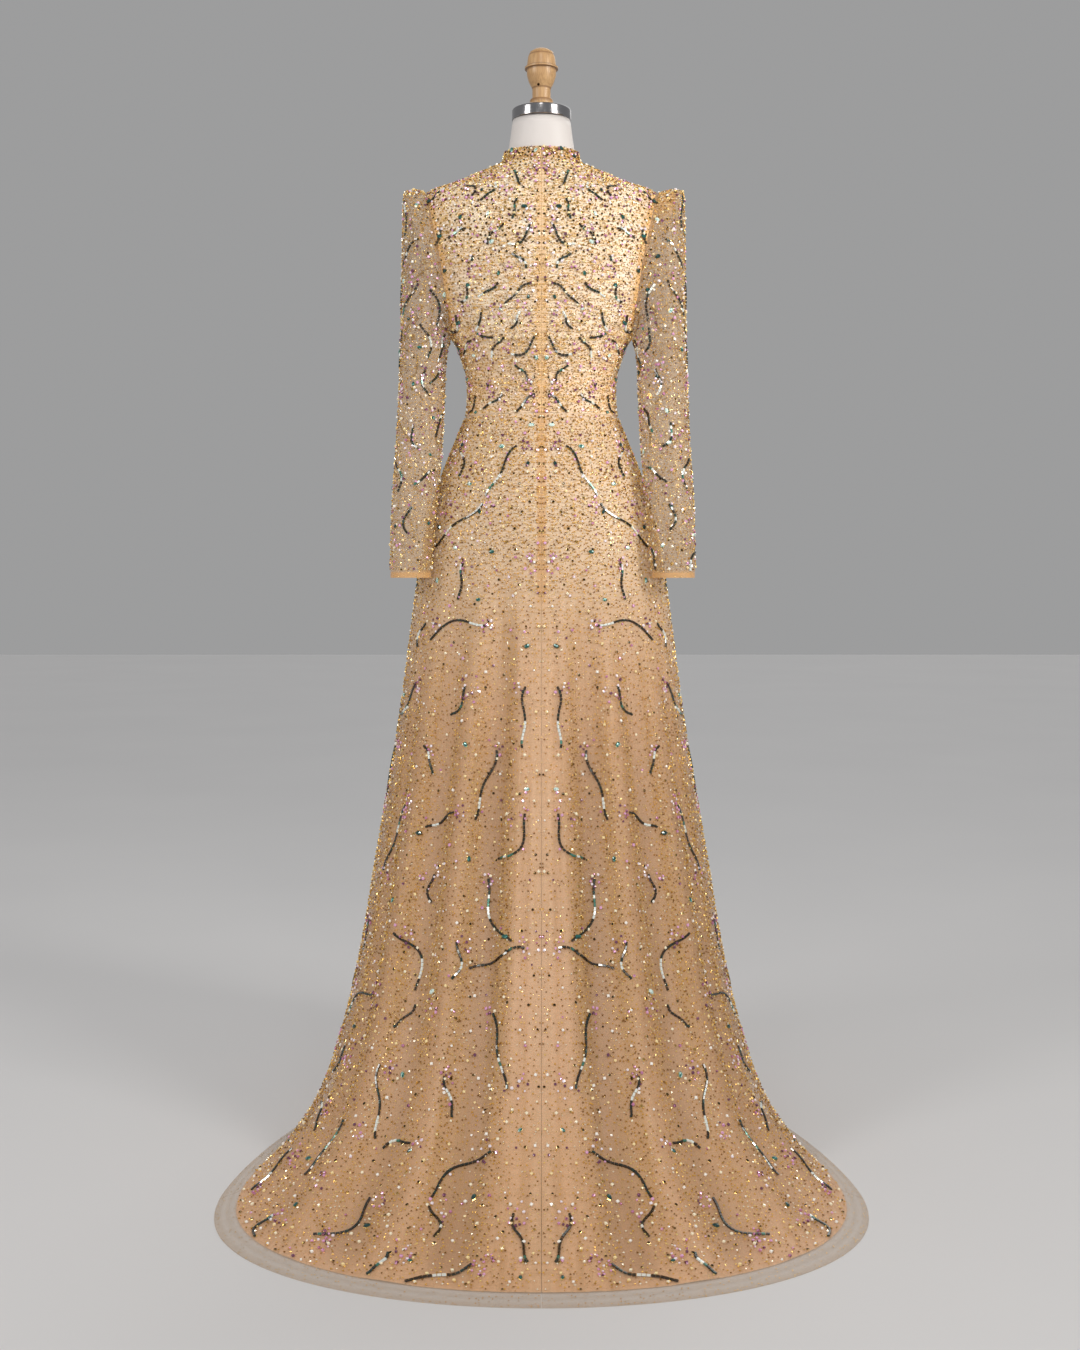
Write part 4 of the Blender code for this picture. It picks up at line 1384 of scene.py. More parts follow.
FOLDS = rows_of(
    Fold,
    (-8.0, 5.0, -0.004),
    (8.0, 5.0, -0.004),
    (-17.0, 5.5, 0.015),
    (17.0, 5.5, 0.016),
    (-27.0, 5.5, -0.005),
    (27.0, 5.5, -0.006),
    (-40.0, 6.5, 0.009),
    (39.0, 6.5, 0.010),
    (-50.0, 6.0, -0.004),
    (51.0, 6.0, -0.003),
    (-63.0, 7.0, 0.006),
    (64.0, 7.0, 0.007),
    (-80.0, 7.5, 0.004),
    (79.0, 7.5, 0.003),
    (-103.0, 9.0, 0.007),
    (106.0, 9.0, 0.006),
    (-126.0, 9.0, 0.006),
    (129.0, 9.0, 0.008),
    (-151.0, 9.0, 0.008),
    (153.0, 9.0, 0.007),
    (180.0, 9.0, -0.004),
)

SKIRT_CREASES = rows_of(
    Crease,
    (8.6, 5.6, 4.4, 1.3, 0.05, 0.0042),
    (9.2, -5.2, 4.2, 1.3, -0.04, 0.0044),
    (9.8, 10.4, 3.6, 1.2, 0.04, 0.0034),
    (9.4, -10.0, 3.8, 1.3, -0.05, 0.0034),
    (9.6, 12.2, 3.4, 1.8, 0.30, -0.0024),
    (9.2, -12.6, 3.0, 1.8, -0.25, -0.0022),
    (8.6, 22.4, 3.6, 2.0, 0.22, 0.0030),
    (9.4, -22.0, 3.4, 2.2, -0.28, 0.0028),
    (10.4, 31.8, 2.8, 1.9, 0.30, 0.0026),
    (9.8, -33.0, 3.2, 2.1, -0.22, 0.0030),
    (8.2, 45.6, 3.6, 2.2, 0.20, 0.0024),
    (9.0, -45.0, 3.4, 2.4, -0.30, 0.0026),
    (10.2, 57.0, 2.8, 2.2, 0.25, -0.0022),
    (9.6, -56.4, 3.2, 2.6, -0.20, -0.0024),
    (7.8, 71.5, 3.4, 2.8, 0.15, 0.0022),
    (8.6, -72.2, 3.2, 2.6, -0.15, 0.0024),
    (12.3, 6.0, 1.7, 1.6, 0.6, 0.0016),
    (12.5, -5.4, 1.6, 1.5, -0.5, 0.0016),
    (12.4, 14.6, 1.6, 1.5, 0.9, 0.0018),
    (12.6, -25.6, 1.7, 1.6, -0.8, 0.0018),
    (12.4, 35.6, 1.5, 1.7, 0.9, 0.0016),
    (12.5, -49.0, 1.6, 1.8, -0.9, 0.0015),
    (12.3, 52.4, 1.6, 1.8, 0.8, 0.0015),
    (8.8, 96.0, 3.4, 3.2, 0.2, 0.0026),
    (8.4, -95.0, 3.6, 3.4, -0.2, 0.0026),
    (9.2, 117.0, 3.2, 3.0, 0.2, -0.0026),
    (8.8, -114.5, 3.4, 3.2, -0.2, -0.0026),
    (9.6, 141.0, 3.0, 3.2, 0.1, -0.0028),
    (9.0, -139.0, 3.2, 3.2, -0.1, -0.0028),
    (8.6, 167.0, 3.2, 3.0, 0.0, 0.0026),
    (9.0, -166.0, 3.2, 3.0, 0.0, 0.0028),
)


RIBBONS = [
    (12.0, 2.6),
    (24.0, 3.0),
    (34.0, 2.4),
    (47.0, 3.2),
    (58.0, 3.0),
    (70.0, 3.6),
    (84.0, 4.0),
    (98.0, 4.0),
    (118.0, 4.6),
    (138.0, 4.2),
    (160.0, 4.8),
]  # where the beads and the drawn tulle are closer together: angle and half width, on both sides


def ribbon_share(rows: Array, columns: Array) -> Array:
    """How far each place lies in one of the ribbons of close beads, from 0 to 1."""
    share = sum(np.exp(-(((np.abs(columns) - angle) / width) ** 2)) for angle, width in RIBBONS)
    hang = smooth_step(rows, 4.0, 7.0) * (0.45 + 0.55 * smooth_step(12.5 - rows, 0.0, 4.0))
    return np.minimum(share, 1.0) * hang * smooth_step(HEM_ROW - 1 - rows, 0.0, 2.0)


def fold_depth(columns: Array) -> Array:
    """How deep the hanging folds are at each angle where the cloth is fully gathered."""
    depth = np.zeros(len(columns))
    for fold in FOLDS:
        aside = (columns - fold.angle + 180) % 360 - 180
        depth += fold.depth * np.exp(-((aside / fold.half_width) ** 2))
    return depth


@dataclass
class SkirtSurface(Surface):
    """The tulle's outer skin all round, with columns in degrees from the centre back to the left."""

    row_limits: Span = (0.0, float(HEM_ROW))
    column_step: float = 0.6

    def base(self, rows: Array, columns: Array) -> Array:
        """The smooth surface.

        Args:
            rows: Row places.
            columns: Column places.

        Returns:
            The point at each place.
        """
        sizes = read_rows(SKIRT_TABLE[:, :7], rows).T
        height, half_width, widest_y, back_y, front_y, back_peak, front_peak = sizes
        turn = np.radians(columns)
        away = np.cos(turn)
        behind = widest_y + (back_y - widest_y) * np.maximum(away, 0.0) ** back_peak
        before = widest_y - (widest_y + front_y) * np.maximum(-away, 0.0) ** front_peak
        return np.stack([half_width * np.sin(turn), np.where(away >= 0, behind, before), height], axis=1)

    def relief(self, rows: Array, columns: Array) -> Array:
        """The hanging folds and the softer creases between them."""
        gather = read_rows(SKIRT_TABLE[:, 7:8], rows)[:, 0]
        fade = smooth_step(rows, 1.0, 4.0) * smooth_step(HEM_ROW - rows, 0.0, 1.2)
        return -gather * fold_depth(columns) - fade * crease_depth(SKIRT_CREASES, rows, columns, 360.0)

    def points(self, rows: Array, columns: Array) -> Array:
        """The surface with its folds, held above the floor."""
        points = super().points(rows, columns)
        lowest = np.interp(rows, [LINING_HEM_ROW, HEM_ROW], [TRAIN_LIFT, CLOTH])
        points[:, 2] = np.maximum(points[:, 2], lowest)
        return points


@dataclass
class Skirt:
    """The skirt: three panels of sheer tulle over three panels of lining."""

    back_columns: int = 62
    front_columns: int = 78
    row_count: int = 84
    row_shares: Span = (0.82, 0.18)  # of the even steps and of the steps that grow towards the hem
    tulle: float = 0.0008
    least_height: float = 0.0001  # of the tulle's inner skin over the floor
    lining_heights: Span = (0.0012, 0.0003)  # the least, of the lining's outer and inner skin
    seam_inset: float = 0.03  # degrees, half a seam's gap
    stripe: float = 0.0085  # half the width of the centre-back stripe
    stripe_share: float = 0.7
    stripe_end: Span = (0.80, 0.86)  # the heights between which the stripe fades out
    crinkled_rows: Span = (3.0, 6.5)  # the row places between which the crinkles fade out
    border_rows: Span = (LINING_HEM_ROW - 0.1, LINING_HEM_ROW + 0.1)
    strips: tuple[float, ...] = (14.3, 14.72, 15.0)  # the row places of the close strips in the border
    strip_width: float = 0.11
    pressed: float = 0.019  # half the width of the centre-back seam's pressed allowances
    stitch: float = 0.0022  # half the width that a seam line shows
    seam_share: float = 0.3
    allowance_share: float = 0.35
    panel_share: float = 0.45
    panel_seams: Span = (21.5, 30.7)  # in degrees from the centre back
    panel_rows: Span = (8.6, 10.0)  # the row places between which the panel seams begin to show
    # the rows and the fold depths over which the painted shade in the lining's troughs grows
    trough_shade_rows: Span = (4.6, 7.6)
    trough_shade_depth: Span = (0.002, 0.012)

    def columns(self, panel: str) -> Array:
        """The grid's column places of a panel."""
        edge = self.seam_inset
        if panel == "front":
            return np.linspace(90 + edge, 270 - edge, self.front_columns)
        return np.linspace(edge, 90 - edge, self.back_columns)

    def rows(self, last: int) -> Array:
        """The grid's row places, a little closer together towards the waist."""
        even_steps = np.linspace(0.0, 1.0, self.row_count)
        even_share, growing_share = self.row_shares
        return last * (even_share * even_steps + growing_share * even_steps**2)

    def gaps(self, rows: Array, columns: Array) -> Array:
        """How far the tulle stands off the lining."""
        side_gap, back_gap = read_rows(SKIRT_TABLE[:, 8:10], rows).T
        sides = np.sin(np.radians(columns)) ** 2
        return back_gap[:, None] + (side_gap - back_gap)[:, None] * sides[None, :]

    def tulle_marks(self, rows: Array, columns: Array, points: Array) -> dict[str, Array]:
        """Where the tulle shows the stripe, is crinkled or drawn into ribbons, and where it is a border.

        Args:
            rows: The grid's row places.
            columns: The grid's column places.
            points: The grid's points.

        Returns:
            The marks by name, each rows by columns.
        """
        off = np.abs(points[..., 0])
        near = (1 - smooth_step(off, 0.7 * self.stripe, self.stripe)) * (points[..., 1] > 0)
        turned = np.where(columns > 180, 360 - columns, columns)
        strips = sum(np.exp(-(((rows - place) / self.strip_width) ** 2)) for place in self.strips)
        ribbon = ribbon_share(*np.meshgrid(rows, turned, indexing="ij"))
        level = np.ones(len(columns))
        return {
            "band": self.stripe_share * near * smooth_step(points[..., 2], *self.stripe_end),
            "crinkled": (1 - smooth_step(rows, *self.crinkled_rows))[:, None] * level,
            "ribbon": np.maximum(ribbon, strips[:, None]),
            "border": smooth_step(rows, *self.border_rows)[:, None] * level,
        }

    def stitches(self, away: Array, share: float, inner: float = 0.3, outer: float = 0.8) -> Array:
        """How strongly a line of stitches shows at a distance from it."""
        return share * (1 - smooth_step(away, inner * self.stitch, outer * self.stitch))

    def lining_marks(self, rows: Array, columns: Array, points: Array) -> dict[str, Array]:
        """Where the lining shows its pressed allowances and its stitches, and where shade is painted into the
        troughs of its folds.

        Args:
            rows: The grid's row places.
            columns: The grid's column places.
            points: The grid's points.

        Returns:
            The marks by name, each rows by columns.
        """
        behind = points[..., 1] > 0
        off = np.abs(points[..., 0])
        pressed = (1 - smooth_step(off, 0.75 * self.pressed, self.pressed)) * behind
        stitched = self.stitches(off, self.seam_share) * behind
        edges = self.stitches(np.abs(off - self.pressed), self.allowance_share) * behind
        stitched = np.maximum(stitched, edges)
        low = smooth_step(rows, *self.panel_rows)[:, None]
        for seam in self.panel_seams:
            away = np.radians(np.abs(columns - seam))[None, :] * np.hypot(points[..., 0], points[..., 1])
            stitched = np.maximum(stitched, self.stitches(away, self.panel_share * low, 0.4, 1.0))
        # painted shade: the lining darkens in the troughs of the deeper folds, fading in below the hips and
        # out at the hem
        hang = smooth_step(rows, *self.trough_shade_rows) * smooth_step(LINING_HEM_ROW - rows, 0.0, 1.2)
        trough_shade = hang[:, None] * smooth_step(fold_depth(columns), *self.trough_shade_depth)[None, :]
        return {"pressed": pressed, "stitched": stitched, "trough_shade": trough_shade}

    def build_tulle(self, panel: str, side: Side, beadwork: "Beadwork") -> None:
        """Builds and dresses one tulle panel with its beads.

        Args:
            panel: The panel's name.
            side: Its side, which is left for the front.
            beadwork: What sews the beads on.
        """
        name = f"overlay_{panel}"
        rows, columns = self.rows(HEM_ROW), self.columns(panel)
        points, normals = SkirtSurface().grid(rows, columns)
        inner = level_ends(inward(points, normals, self.tulle), points)
        inner[-1, :, 2] = points[-1, :, 2] - self.tulle
        inner[..., 2] = np.maximum(inner[..., 2], self.least_height)
        marks = self.tulle_marks(rows, columns, points)
        if side is Side.RIGHT:
            points, inner = mirrored(points), mirrored(inner)
        sides = list(Side) if panel == "front" else [side]
        groups = [SkirtBeads(front=panel == "front").beads(each) for each in sides]
        beads = beadwork.sew(name, groups, "tulle")
        wall = Wall(name, points, inner, marks=marks)
        add_cloth(wall, SKIRT_TULLE, "tulle")

    def build_lining(self, panel: str, side: Side) -> None:
        """Builds and dresses one lining panel.

        Args:
            panel: The panel's name.
            side: Its side, which is left for the front.
        """
        rows, columns = self.rows(LINING_HEM_ROW), self.columns(panel)
        outside, normals = SkirtSurface().grid(rows, columns)
        points = outside - normals * (CLOTH + self.gaps(rows, columns))[..., None]
        inner = level_ends(inward(points, normals, self.tulle), points)
        for skin, least in zip((points, inner), self.lining_heights):
            skin[..., 2] = np.maximum(skin[..., 2], least)
        marks = self.lining_marks(rows, columns, points)
        if side is Side.RIGHT:
            points, inner = mirrored(points), mirrored(inner)
        wall = Wall(f"lining_{panel}", points, inner, marks=marks)
        add_cloth(wall, LiningSatin(), "lining")

    def build(self, beadwork: "Beadwork") -> None:
        """Builds and dresses every panel."""
        panels = [("front", Side.LEFT), ("back_left", Side.LEFT), ("back_right", Side.RIGHT)]
        for panel, side in panels:
            self.build_tulle(panel, side, beadwork)
            self.build_lining(panel, side)


# ---- Beads ----
class Kind(Enum):
    """The kinds of bead, each with the name of the attribute that picks its points."""

    SEED = "seed"
    SEQUIN = "sequin"
    BUGLE = "bugle"
    TEAL = "teal"
    ROSE = "rose"
    PEARL = "pearl"
    TOOTH = "tooth"


@dataclass(frozen=True)
class BeadShape:
    """One kind of bead: a round body or a tube, with a metal cup under it where cup is above zero."""

    kind: Kind
    finish: BeadFinish
    length: float
    width: float
    height: float
    segments: int
    rings: int
    tube: bool = False
    cup: float = 0.0


BEAD_SHAPES = [
    BeadShape(Kind.SEED, GOLD_SEEDS, 0.0031, 0.0028, 0.0022, 3, 2),
    BeadShape(Kind.SEQUIN, SEQUIN_EYES, 0.0040, 0.0038, 0.0018, 6, 2, cup=1.28),
    BeadShape(Kind.BUGLE, BUGLE_GLASS, 0.0053, 0.0042, 0.0030, 5, 1, tube=True),
    BeadShape(Kind.TEAL, TEAL_GLASS, 0.0094, 0.0064, 0.0036, 6, 4, cup=1.18),
    BeadShape(Kind.ROSE, ROSE_GLASS, 0.0050, 0.0047, 0.0032, 5, 3),
    BeadShape(Kind.PEARL, PEARL, 0.0050, 0.0048, 0.0037, 4, 3),
    BeadShape(Kind.TOOTH, ZIP_COIL, 0.0048, 0.0013, 0.0011, 4, 1, tube=True),
]


@dataclass
class Beads:
    """Beads that wait to be sewn on: where each lies, which way it faces and runs, its size and tint."""

    kinds: list[str] = field(default_factory=list)
    parts: list[Array] = field(default_factory=list)

    def add(self, kind: Kind, points: Array, lies: Array, runs: Array, sizes: Array, tints: Array) -> None:
        """Adds beads of one kind."""
        self.kinds += [kind.value] * len(points)
        self.parts.append(np.column_stack([points, lies, runs, sizes, tints]))

    def table(self) -> Array:
        """One row for each bead: place, facing, run, size and tint."""
        return np.concatenate(self.parts) if self.parts else np.zeros((0, 11))

    def mirrored(self) -> "Beads":
        """The same beads on the wearer's other side."""
        flip = np.array([-1, 1, 1, -1, 1, 1, -1, 1, 1, 1, 1], float)
        return Beads(list(self.kinds), [part * flip for part in self.parts])


class BeadTree(Graph):
    """Geometry Nodes that sew the right bead on each point.

    Each kind has a branch: it picks the points that carry the kind's attribute, puts the kind's bead on
    them, turned by the attributes "lie" and "run" and sized by "size", and gives it its material. The
    tree's inputs are the length, width and height of each kind.
    """

    seat: float = 0.42  # how far a bead's middle stands off the cloth, in its own heights
    cup_sides: int = 5
    cup_rim: float = 0.34  # the cup's radii at unit size
    cup_foot: float = 0.5
    cup_depth: float = 0.3

    def __init__(self) -> None:
        """Builds the tree."""
        super().__init__(bpy.data.node_groups.new("sewn_beads", "GeometryNodeTree"))
        for way in ("INPUT", "OUTPUT"):
            self.tree.interface.new_socket("Geometry", in_out=way, socket_type="NodeSocketGeometry")
        self.sizes: dict[str, float] = {}
        self.source = self.tree.nodes.new("NodeGroupInput")
        self.turn = self.turned()
        self.size = self.named("size", "FLOAT")
        joined = self.joined([self.branch(shape) for shape in BEAD_SHAPES])
        real = self.result("Geometry", "GeometryNodeRealizeInstances", {"Geometry": joined})
        self.node("NodeGroupOutput", {"Geometry": real})

    def joined(self, pieces: list[Socket]) -> Socket:
        """Several geometries as one."""
        join = self.node("GeometryNodeJoinGeometry")
        for piece in pieces:
            self.link(piece, join.inputs["Geometry"])
        return join.outputs["Geometry"]

    def placed(self, geometry: Socket, **moves: Socket | Triple) -> Socket:
        """Geometry that is moved, turned or scaled."""
        return self.result(0, "GeometryNodeTransform", {0: geometry, **moves})

    def named(self, name: str, kind: str) -> Socket:
        """An attribute of the points."""
        return self.result("Attribute", "GeometryNodeInputNamedAttribute", {"Name": name}, data_type=kind)

    def turned(self) -> Socket:
        """The rotation that stands Z along "lie" and turns X towards "run"."""
        kind = "FunctionNodeAlignRotationToVector"
        stand = self.result("Rotation", kind, {"Vector": self.named("lie", "FLOAT_VECTOR")}, axis="Z")
        inputs = {"Rotation": stand, "Vector": self.named("run", "FLOAT_VECTOR")}
        return self.result("Rotation", kind, inputs, axis="X", pivot_axis="Z")

    def size_input(self, name: str, value: float) -> Socket:
        """A named length among the tree's inputs, with its value kept by the socket's identifier."""
        socket = self.tree.interface.new_socket(name, in_out="INPUT", socket_type="NodeSocketFloat")
        self.sizes[socket.identifier] = value
        return self.source.outputs[name]

    def body(self, shape: BeadShape) -> Socket:
        """A bead's body at unit size, lying along X."""
        if not shape.tube:
            inputs = {"Segments": shape.segments, "Rings": shape.rings, "Radius": 0.5}
            return self.result("Mesh", "GeometryNodeMeshUVSphere", inputs)
        inputs = {"Vertices": shape.segments, "Radius": 0.5, "Depth": 1.0}
        tube = self.result("Mesh", "GeometryNodeMeshCylinder", inputs)
        return self.placed(tube, Rotation=(0.0, math.pi / 2, 0.0))

    def cup(self, shape: BeadShape) -> Socket:
        """The metal cup under a stone, a low cone at unit size."""
        inputs = {"Vertices": self.cup_sides, "Depth": self.cup_depth}
        inputs |= {"Radius Top": self.cup_rim * shape.cup, "Radius Bottom": self.cup_foot * shape.cup}
        cone = self.result("Mesh", "GeometryNodeMeshCone", inputs)
        return self.placed(cone, Translation=(0.0, 0.0, -0.5))

    def painted(self, geometry: Socket, finish: BeadFinish) -> Socket:
        """Geometry with its material set."""
        inputs = {"Geometry": geometry, "Material": made(finish)}
        return self.result("Geometry", "GeometryNodeSetMaterial", inputs)

    def branch(self, shape: BeadShape) -> Socket:
        """The beads of one kind, on their points.

        Args:
            shape: The kind's shape and finish.

        Returns:
            The beads, still as instances.
        """
        word = shape.kind.value.capitalize()
        sizes = {
            "X": self.size_input(f"{word} length", shape.length),
            "Y": self.size_input(f"{word} width", shape.width),
            "Z": self.size_input(f"{word} height", shape.height),
        }
        scale = self.result("Vector", "ShaderNodeCombineXYZ", sizes)
        bead = self.painted(self.body(shape), shape.finish)
        if shape.cup:
            bead = self.joined([self.painted(self.cup(shape), CUP_METAL), bead])
        raised = self.placed(bead, Translation=(0.0, 0.0, self.seat))
        inputs = {
            "Points": self.source.outputs["Geometry"],
            "Selection": self.named(shape.kind.value, "BOOLEAN"),
            "Instance": self.placed(raised, Scale=scale),
            "Rotation": self.turn,
            "Scale": self.size,
        }
        return self.result("Instances", "GeometryNodeInstanceOnPoints", inputs)


class Beadwork:
    """Sews beads on panels, as one joined mesh for each panel."""

    def __init__(self) -> None:
        """Makes the tree that every panel shares."""
        self.tree = BeadTree()

    def points(self, panel: str, groups: list[Beads]) -> bpy.types.Mesh:
        """The points of a panel's beads, which carry what the tree reads.

        Args:
            panel: The panel's name.
            groups: Its beads.

        Returns:
            A mesh of points alone.
        """
        table = np.concatenate([group.table() for group in groups])
        kinds = np.array([kind for group in groups for kind in group.kinds])
        mesh = bpy.data.meshes.new(f"{panel}_points")
        mesh.vertices.add(len(table))
        mesh.vertices.foreach_set("co", table[:, :3].ravel())
        marks = [
            ("lie", "FLOAT_VECTOR", "vector", table[:, 3:6].ravel()),
            ("run", "FLOAT_VECTOR", "vector", table[:, 6:9].ravel()),
            ("size", "FLOAT", "value", table[:, 9]),
            ("tint", "FLOAT", "value", table[:, 10]),
        ]
        marks += [(kind.value, "BOOLEAN", "value", kinds == kind.value) for kind in Kind]
        for name, form, key, values in marks:
            mesh.attributes.new(name, form, "POINT").data.foreach_set(key, values)
        return mesh

    def sew(self, panel: str, groups: list[Beads], slot: str) -> bpy.types.Object:
        """Makes one panel's beads.

        Args:
            panel: The panel's name.
            groups: The panel's beads.
            slot: Passed on to dress, which does not use it.

        Returns:
            The beads, dressed.
        """
        obj = new_object(f"{panel}_beads", self.points(panel, groups))
        modifier = obj.modifiers.new("beads", "NODES")
        modifier.node_group = self.tree.tree
        for identifier, size in self.tree.sizes.items():
            modifier[identifier] = size
        mesh = settled(obj).data
        for name in ["lie", "run", "size", *(kind.value for kind in Kind)]:
            attribute = mesh.attributes.get(name)
            if attribute is not None:
                mesh.attributes.remove(attribute)
        mesh.shade_flat()
        return dress(obj, None, slot)


# ---- Laying out the beads ----
Place = tuple[int, int, float, float]  # a lattice place: its level, its number there, its row and column
Density = Callable[[Array, Array, Array], Array]  # from row places, column places and points


def even(count: float) -> Density:
    """As many beads for each square metre everywhere."""
    return lambda rows, columns, points: np.full(len(rows), count)


def fading(count: float, more: float, start: float, end: float) -> Density:
    """More beads above, which fade out from one row place to another."""
    return lambda rows, columns, points: count + more * (1 - smooth_step(rows, start, end))


def off_centre(points: Array) -> Array:
    """0 on the centre line and 1 off it, so that a stone and its mirror image don't meet."""
    return smooth_step(np.abs(points[:, 0]), 0.006, 0.010)


@dataclass(frozen=True)
class Sowing:
    """How single beads of one kind are sown over a panel."""

    kind: Kind
    density: Density
    evenly: float  # how evenly they are spaced, from 0 to 1
    swell: float  # how much their sizes differ, as a share
    level: float = 0.0  # how far they lie level, from 0 to 1
    size: float = 1.0  # as a share of the kind's own size


@dataclass(frozen=True)
class Cycle:
    """Values that are taken in turn along a level of the lattice and from level to level."""

    values: tuple[float, ...]
    by_level: int
    by_number: int

    def at(self, level: int, number: int) -> float:
        """The value for a place of the lattice."""
        return self.values[(self.by_level * level + self.by_number * number) % len(self.values)]


@dataclass(frozen=True)
class SprayPlan:
    """How a panel's sprays differ from place to place of their lattice."""

    spacing: float
    level_spacing: float
    heading: Cycle
    loose: float  # how far a heading may stray in all, in degrees
    curl: Cycle
    sway: Cycle
    length: Cycle
    last_row: float = math.inf


@dataclass(frozen=True)
class ClusterPlan:
    """How a panel's clusters of rose stones are laid out."""

    spacing: float
    level_spacing: float
    fewest: int
    most: int
    reach: float


@dataclass(frozen=True)
class Spray:
    """One curved run of bugles.

    heading is measured from straight down, away from the centre line, in degrees. curl is how far the run
    turns over its length, and sway how far it swings out and back.
    """

    row: float
    column: float
    heading: float
    curl: float
    sway: float
    length: float


def run_lengths(points: Array) -> Array:
    """How far along a line of points each one lies."""
    return np.concatenate([[0.0], np.linalg.norm(np.diff(points, axis=0), axis=1).cumsum()])


class PanelBeads:
    """The beads of one panel, worked out on the wearer's left."""

    surface: Surface
    row_span: Span
    column_span: Span
    sowings: tuple[Sowing, ...]
    sprays: SprayPlan | None = None
    clusters: ClusterPlan | None = None
    seed: int = 1
    cells: tuple[int, int] = (160, 90)
    pitch: float = 0.0060  # from one bugle to the next
    clear: float = 0.013  # between two sprays
    shortest: int = 3  # bugles in a spray
    centre_room: float = 0.007  # between a spray and the centre line
    stone_room: float = 0.0048  # from one stone of a cluster to the next
    packing: float = 0.66  # of beads that each keep their room
    dull: float = 0.88  # the greatest tint of a bugle without a painted glint
    painted_glint: float = 0.90  # the least tint of one that is painted as a glint
    painted_glint_reach: float = 0.2  # how far the painted glints of a run reach at most, as a share of it
    bugle_sizes: Span = (0.94, 0.1)  # the least, and how much more
    stone_sizes: Span = (0.75, 0.5)
    cluster_sizes: Span = (0.6, 0.8)  # of a cluster's reach
    cluster_width: float = 0.7  # of a cluster's height
    far_off: float = 9.0  # from the gown, in metres
    first_level: float = 0.6  # where the lattice starts, in levels
    stray: float = 0.24  # how far a lattice place may stray, in steps

    def __init__(self) -> None:
        """Starts with no beads and a fixed seed."""
        self.rng = np.random.default_rng(self.seed)
        self.found = Beads()

    def lying(self, rows: Array, columns: Array) -> tuple[Array, Array]:
        """Points and normals at places on the cloth."""
        return self.surface.points(rows, columns), self.surface.normals(rows, columns)

    def within(self, rows: Array, columns: Array) -> Array:
        """Which places lie on the panel."""
        inside = (rows > self.row_span[0]) & (rows < self.row_span[1])
        return inside & (columns > self.column_span[0]) & (columns < self.column_span[1])

    def loose_runs(self, lies: Array) -> Array:
        """A direction at random along the cloth at each normal."""
        return unit(np.cross(lies, unit(self.rng.normal(size=lies.shape))))

    def spread(self, density: Density) -> tuple[Array, Array]:
        """Row places and column places spread over the panel, by the beads for each square metre.

        Args:
            density: The beads for each square metre.

        Returns:
            Row places and column places.
        """
        rows = np.linspace(*self.row_span, self.cells[0] + 1)
        columns = np.linspace(*self.column_span, self.cells[1] + 1)
        low_row, low_column = (g.ravel() for g in np.meshgrid(rows[:-1], columns[:-1], indexing="ij"))
        row_step, column_step = rows[1] - rows[0], columns[1] - columns[0]
        row, column = low_row + row_step / 2, low_column + column_step / 2
        along, across = self.surface.directions(self.surface.base, row, column)
        area = np.linalg.norm(np.cross(along, across), axis=1) * row_step * column_step
        weights = np.cumsum(area * density(row, column, self.surface.points(row, column)))
        count = int(weights[-1])
        picks = (np.arange(count) + self.rng.random(count)) * weights[-1] / count
        cell = np.minimum(np.searchsorted(weights, picks), len(weights) - 1)
        jitter = self.rng.random((2, count))
        return low_row[cell] + jitter[0] * row_step, low_column[cell] + jitter[1] * column_step

    def sow(self, sowing: Sowing) -> None:
        """Sows single beads of a kind, a surplus that is thinned until each has its room.

        Args:
            sowing: How the kind is sown.
        """
        surplus = 1 + 2 * sowing.evenly
        rows, columns = self.spread(lambda *place: sowing.density(*place) * surplus)
        order = self.rng.permutation(len(rows))
        rows, columns = rows[order], columns[order]
        points, lies = self.lying(rows, columns)
        density = np.maximum(sowing.density(rows, columns, points), 1.0)
        keep = thinned(points, sowing.evenly * np.sqrt(self.packing / density))
        points, lies = points[keep], lies[keep]
        loose = self.loose_runs(lies)
        way = np.sign(self.rng.random(len(points)) - 0.5)[:, None]
        flat = way * unit(np.cross(lies, [0.0, 0.0, 1.0]))
        runs = unit(sowing.level * flat + (1 - sowing.level) * loose)
        sizes = sowing.size * (1 + sowing.swell * (self.rng.random(len(points)) - 0.5))
        self.found.add(sowing.kind, points, lies, runs, sizes, self.rng.random(len(points)))

    def walk(self, sprays: list[Spray]) -> None:
        """Lays a curved run of bugles for each spray that keeps clear of the ones before it.

        Args:
            sprays: The sprays, the first to keep first.
        """
        row, column, heading, curl, sway, length = np.array([astuple(spray) for spray in sprays]).T
        steps = np.round(length / self.pitch).astype(int)
        laid = []
        for step in range(int(steps.max())):
            share = step / np.maximum(steps, 1)
            turn = np.radians(heading + curl * (share - 0.5) + sway * np.sin(math.tau * share))
            ways = self.surface.directions(self.surface.points, row, column)
            down = unit(self.surface.downward * ways[0])
            aside = unit(ways[1] - down * np.sum(ways[1] * down, axis=1, keepdims=True))
            run = down * np.cos(turn)[:, None] + aside * np.sin(turn)[:, None]
            laid.append((*self.lying(row, column), run, (step < steps) & self.within(row, column)))
            grid = np.array([[np.sum(a * b, axis=1) for b in ways] for a in ways]).transpose(2, 0, 1)
            goal = np.stack([np.sum(run * a, axis=1) for a in ways], axis=1)
            move = np.linalg.solve(grid, goal[..., None])[..., 0] * self.pitch
            row = np.clip(row + move[:, 0], *self.surface.row_limits)
            column = np.clip(column + move[:, 1], *self.surface.column_limits)
        self.lay_runs(*(np.array(values) for values in zip(*laid)))

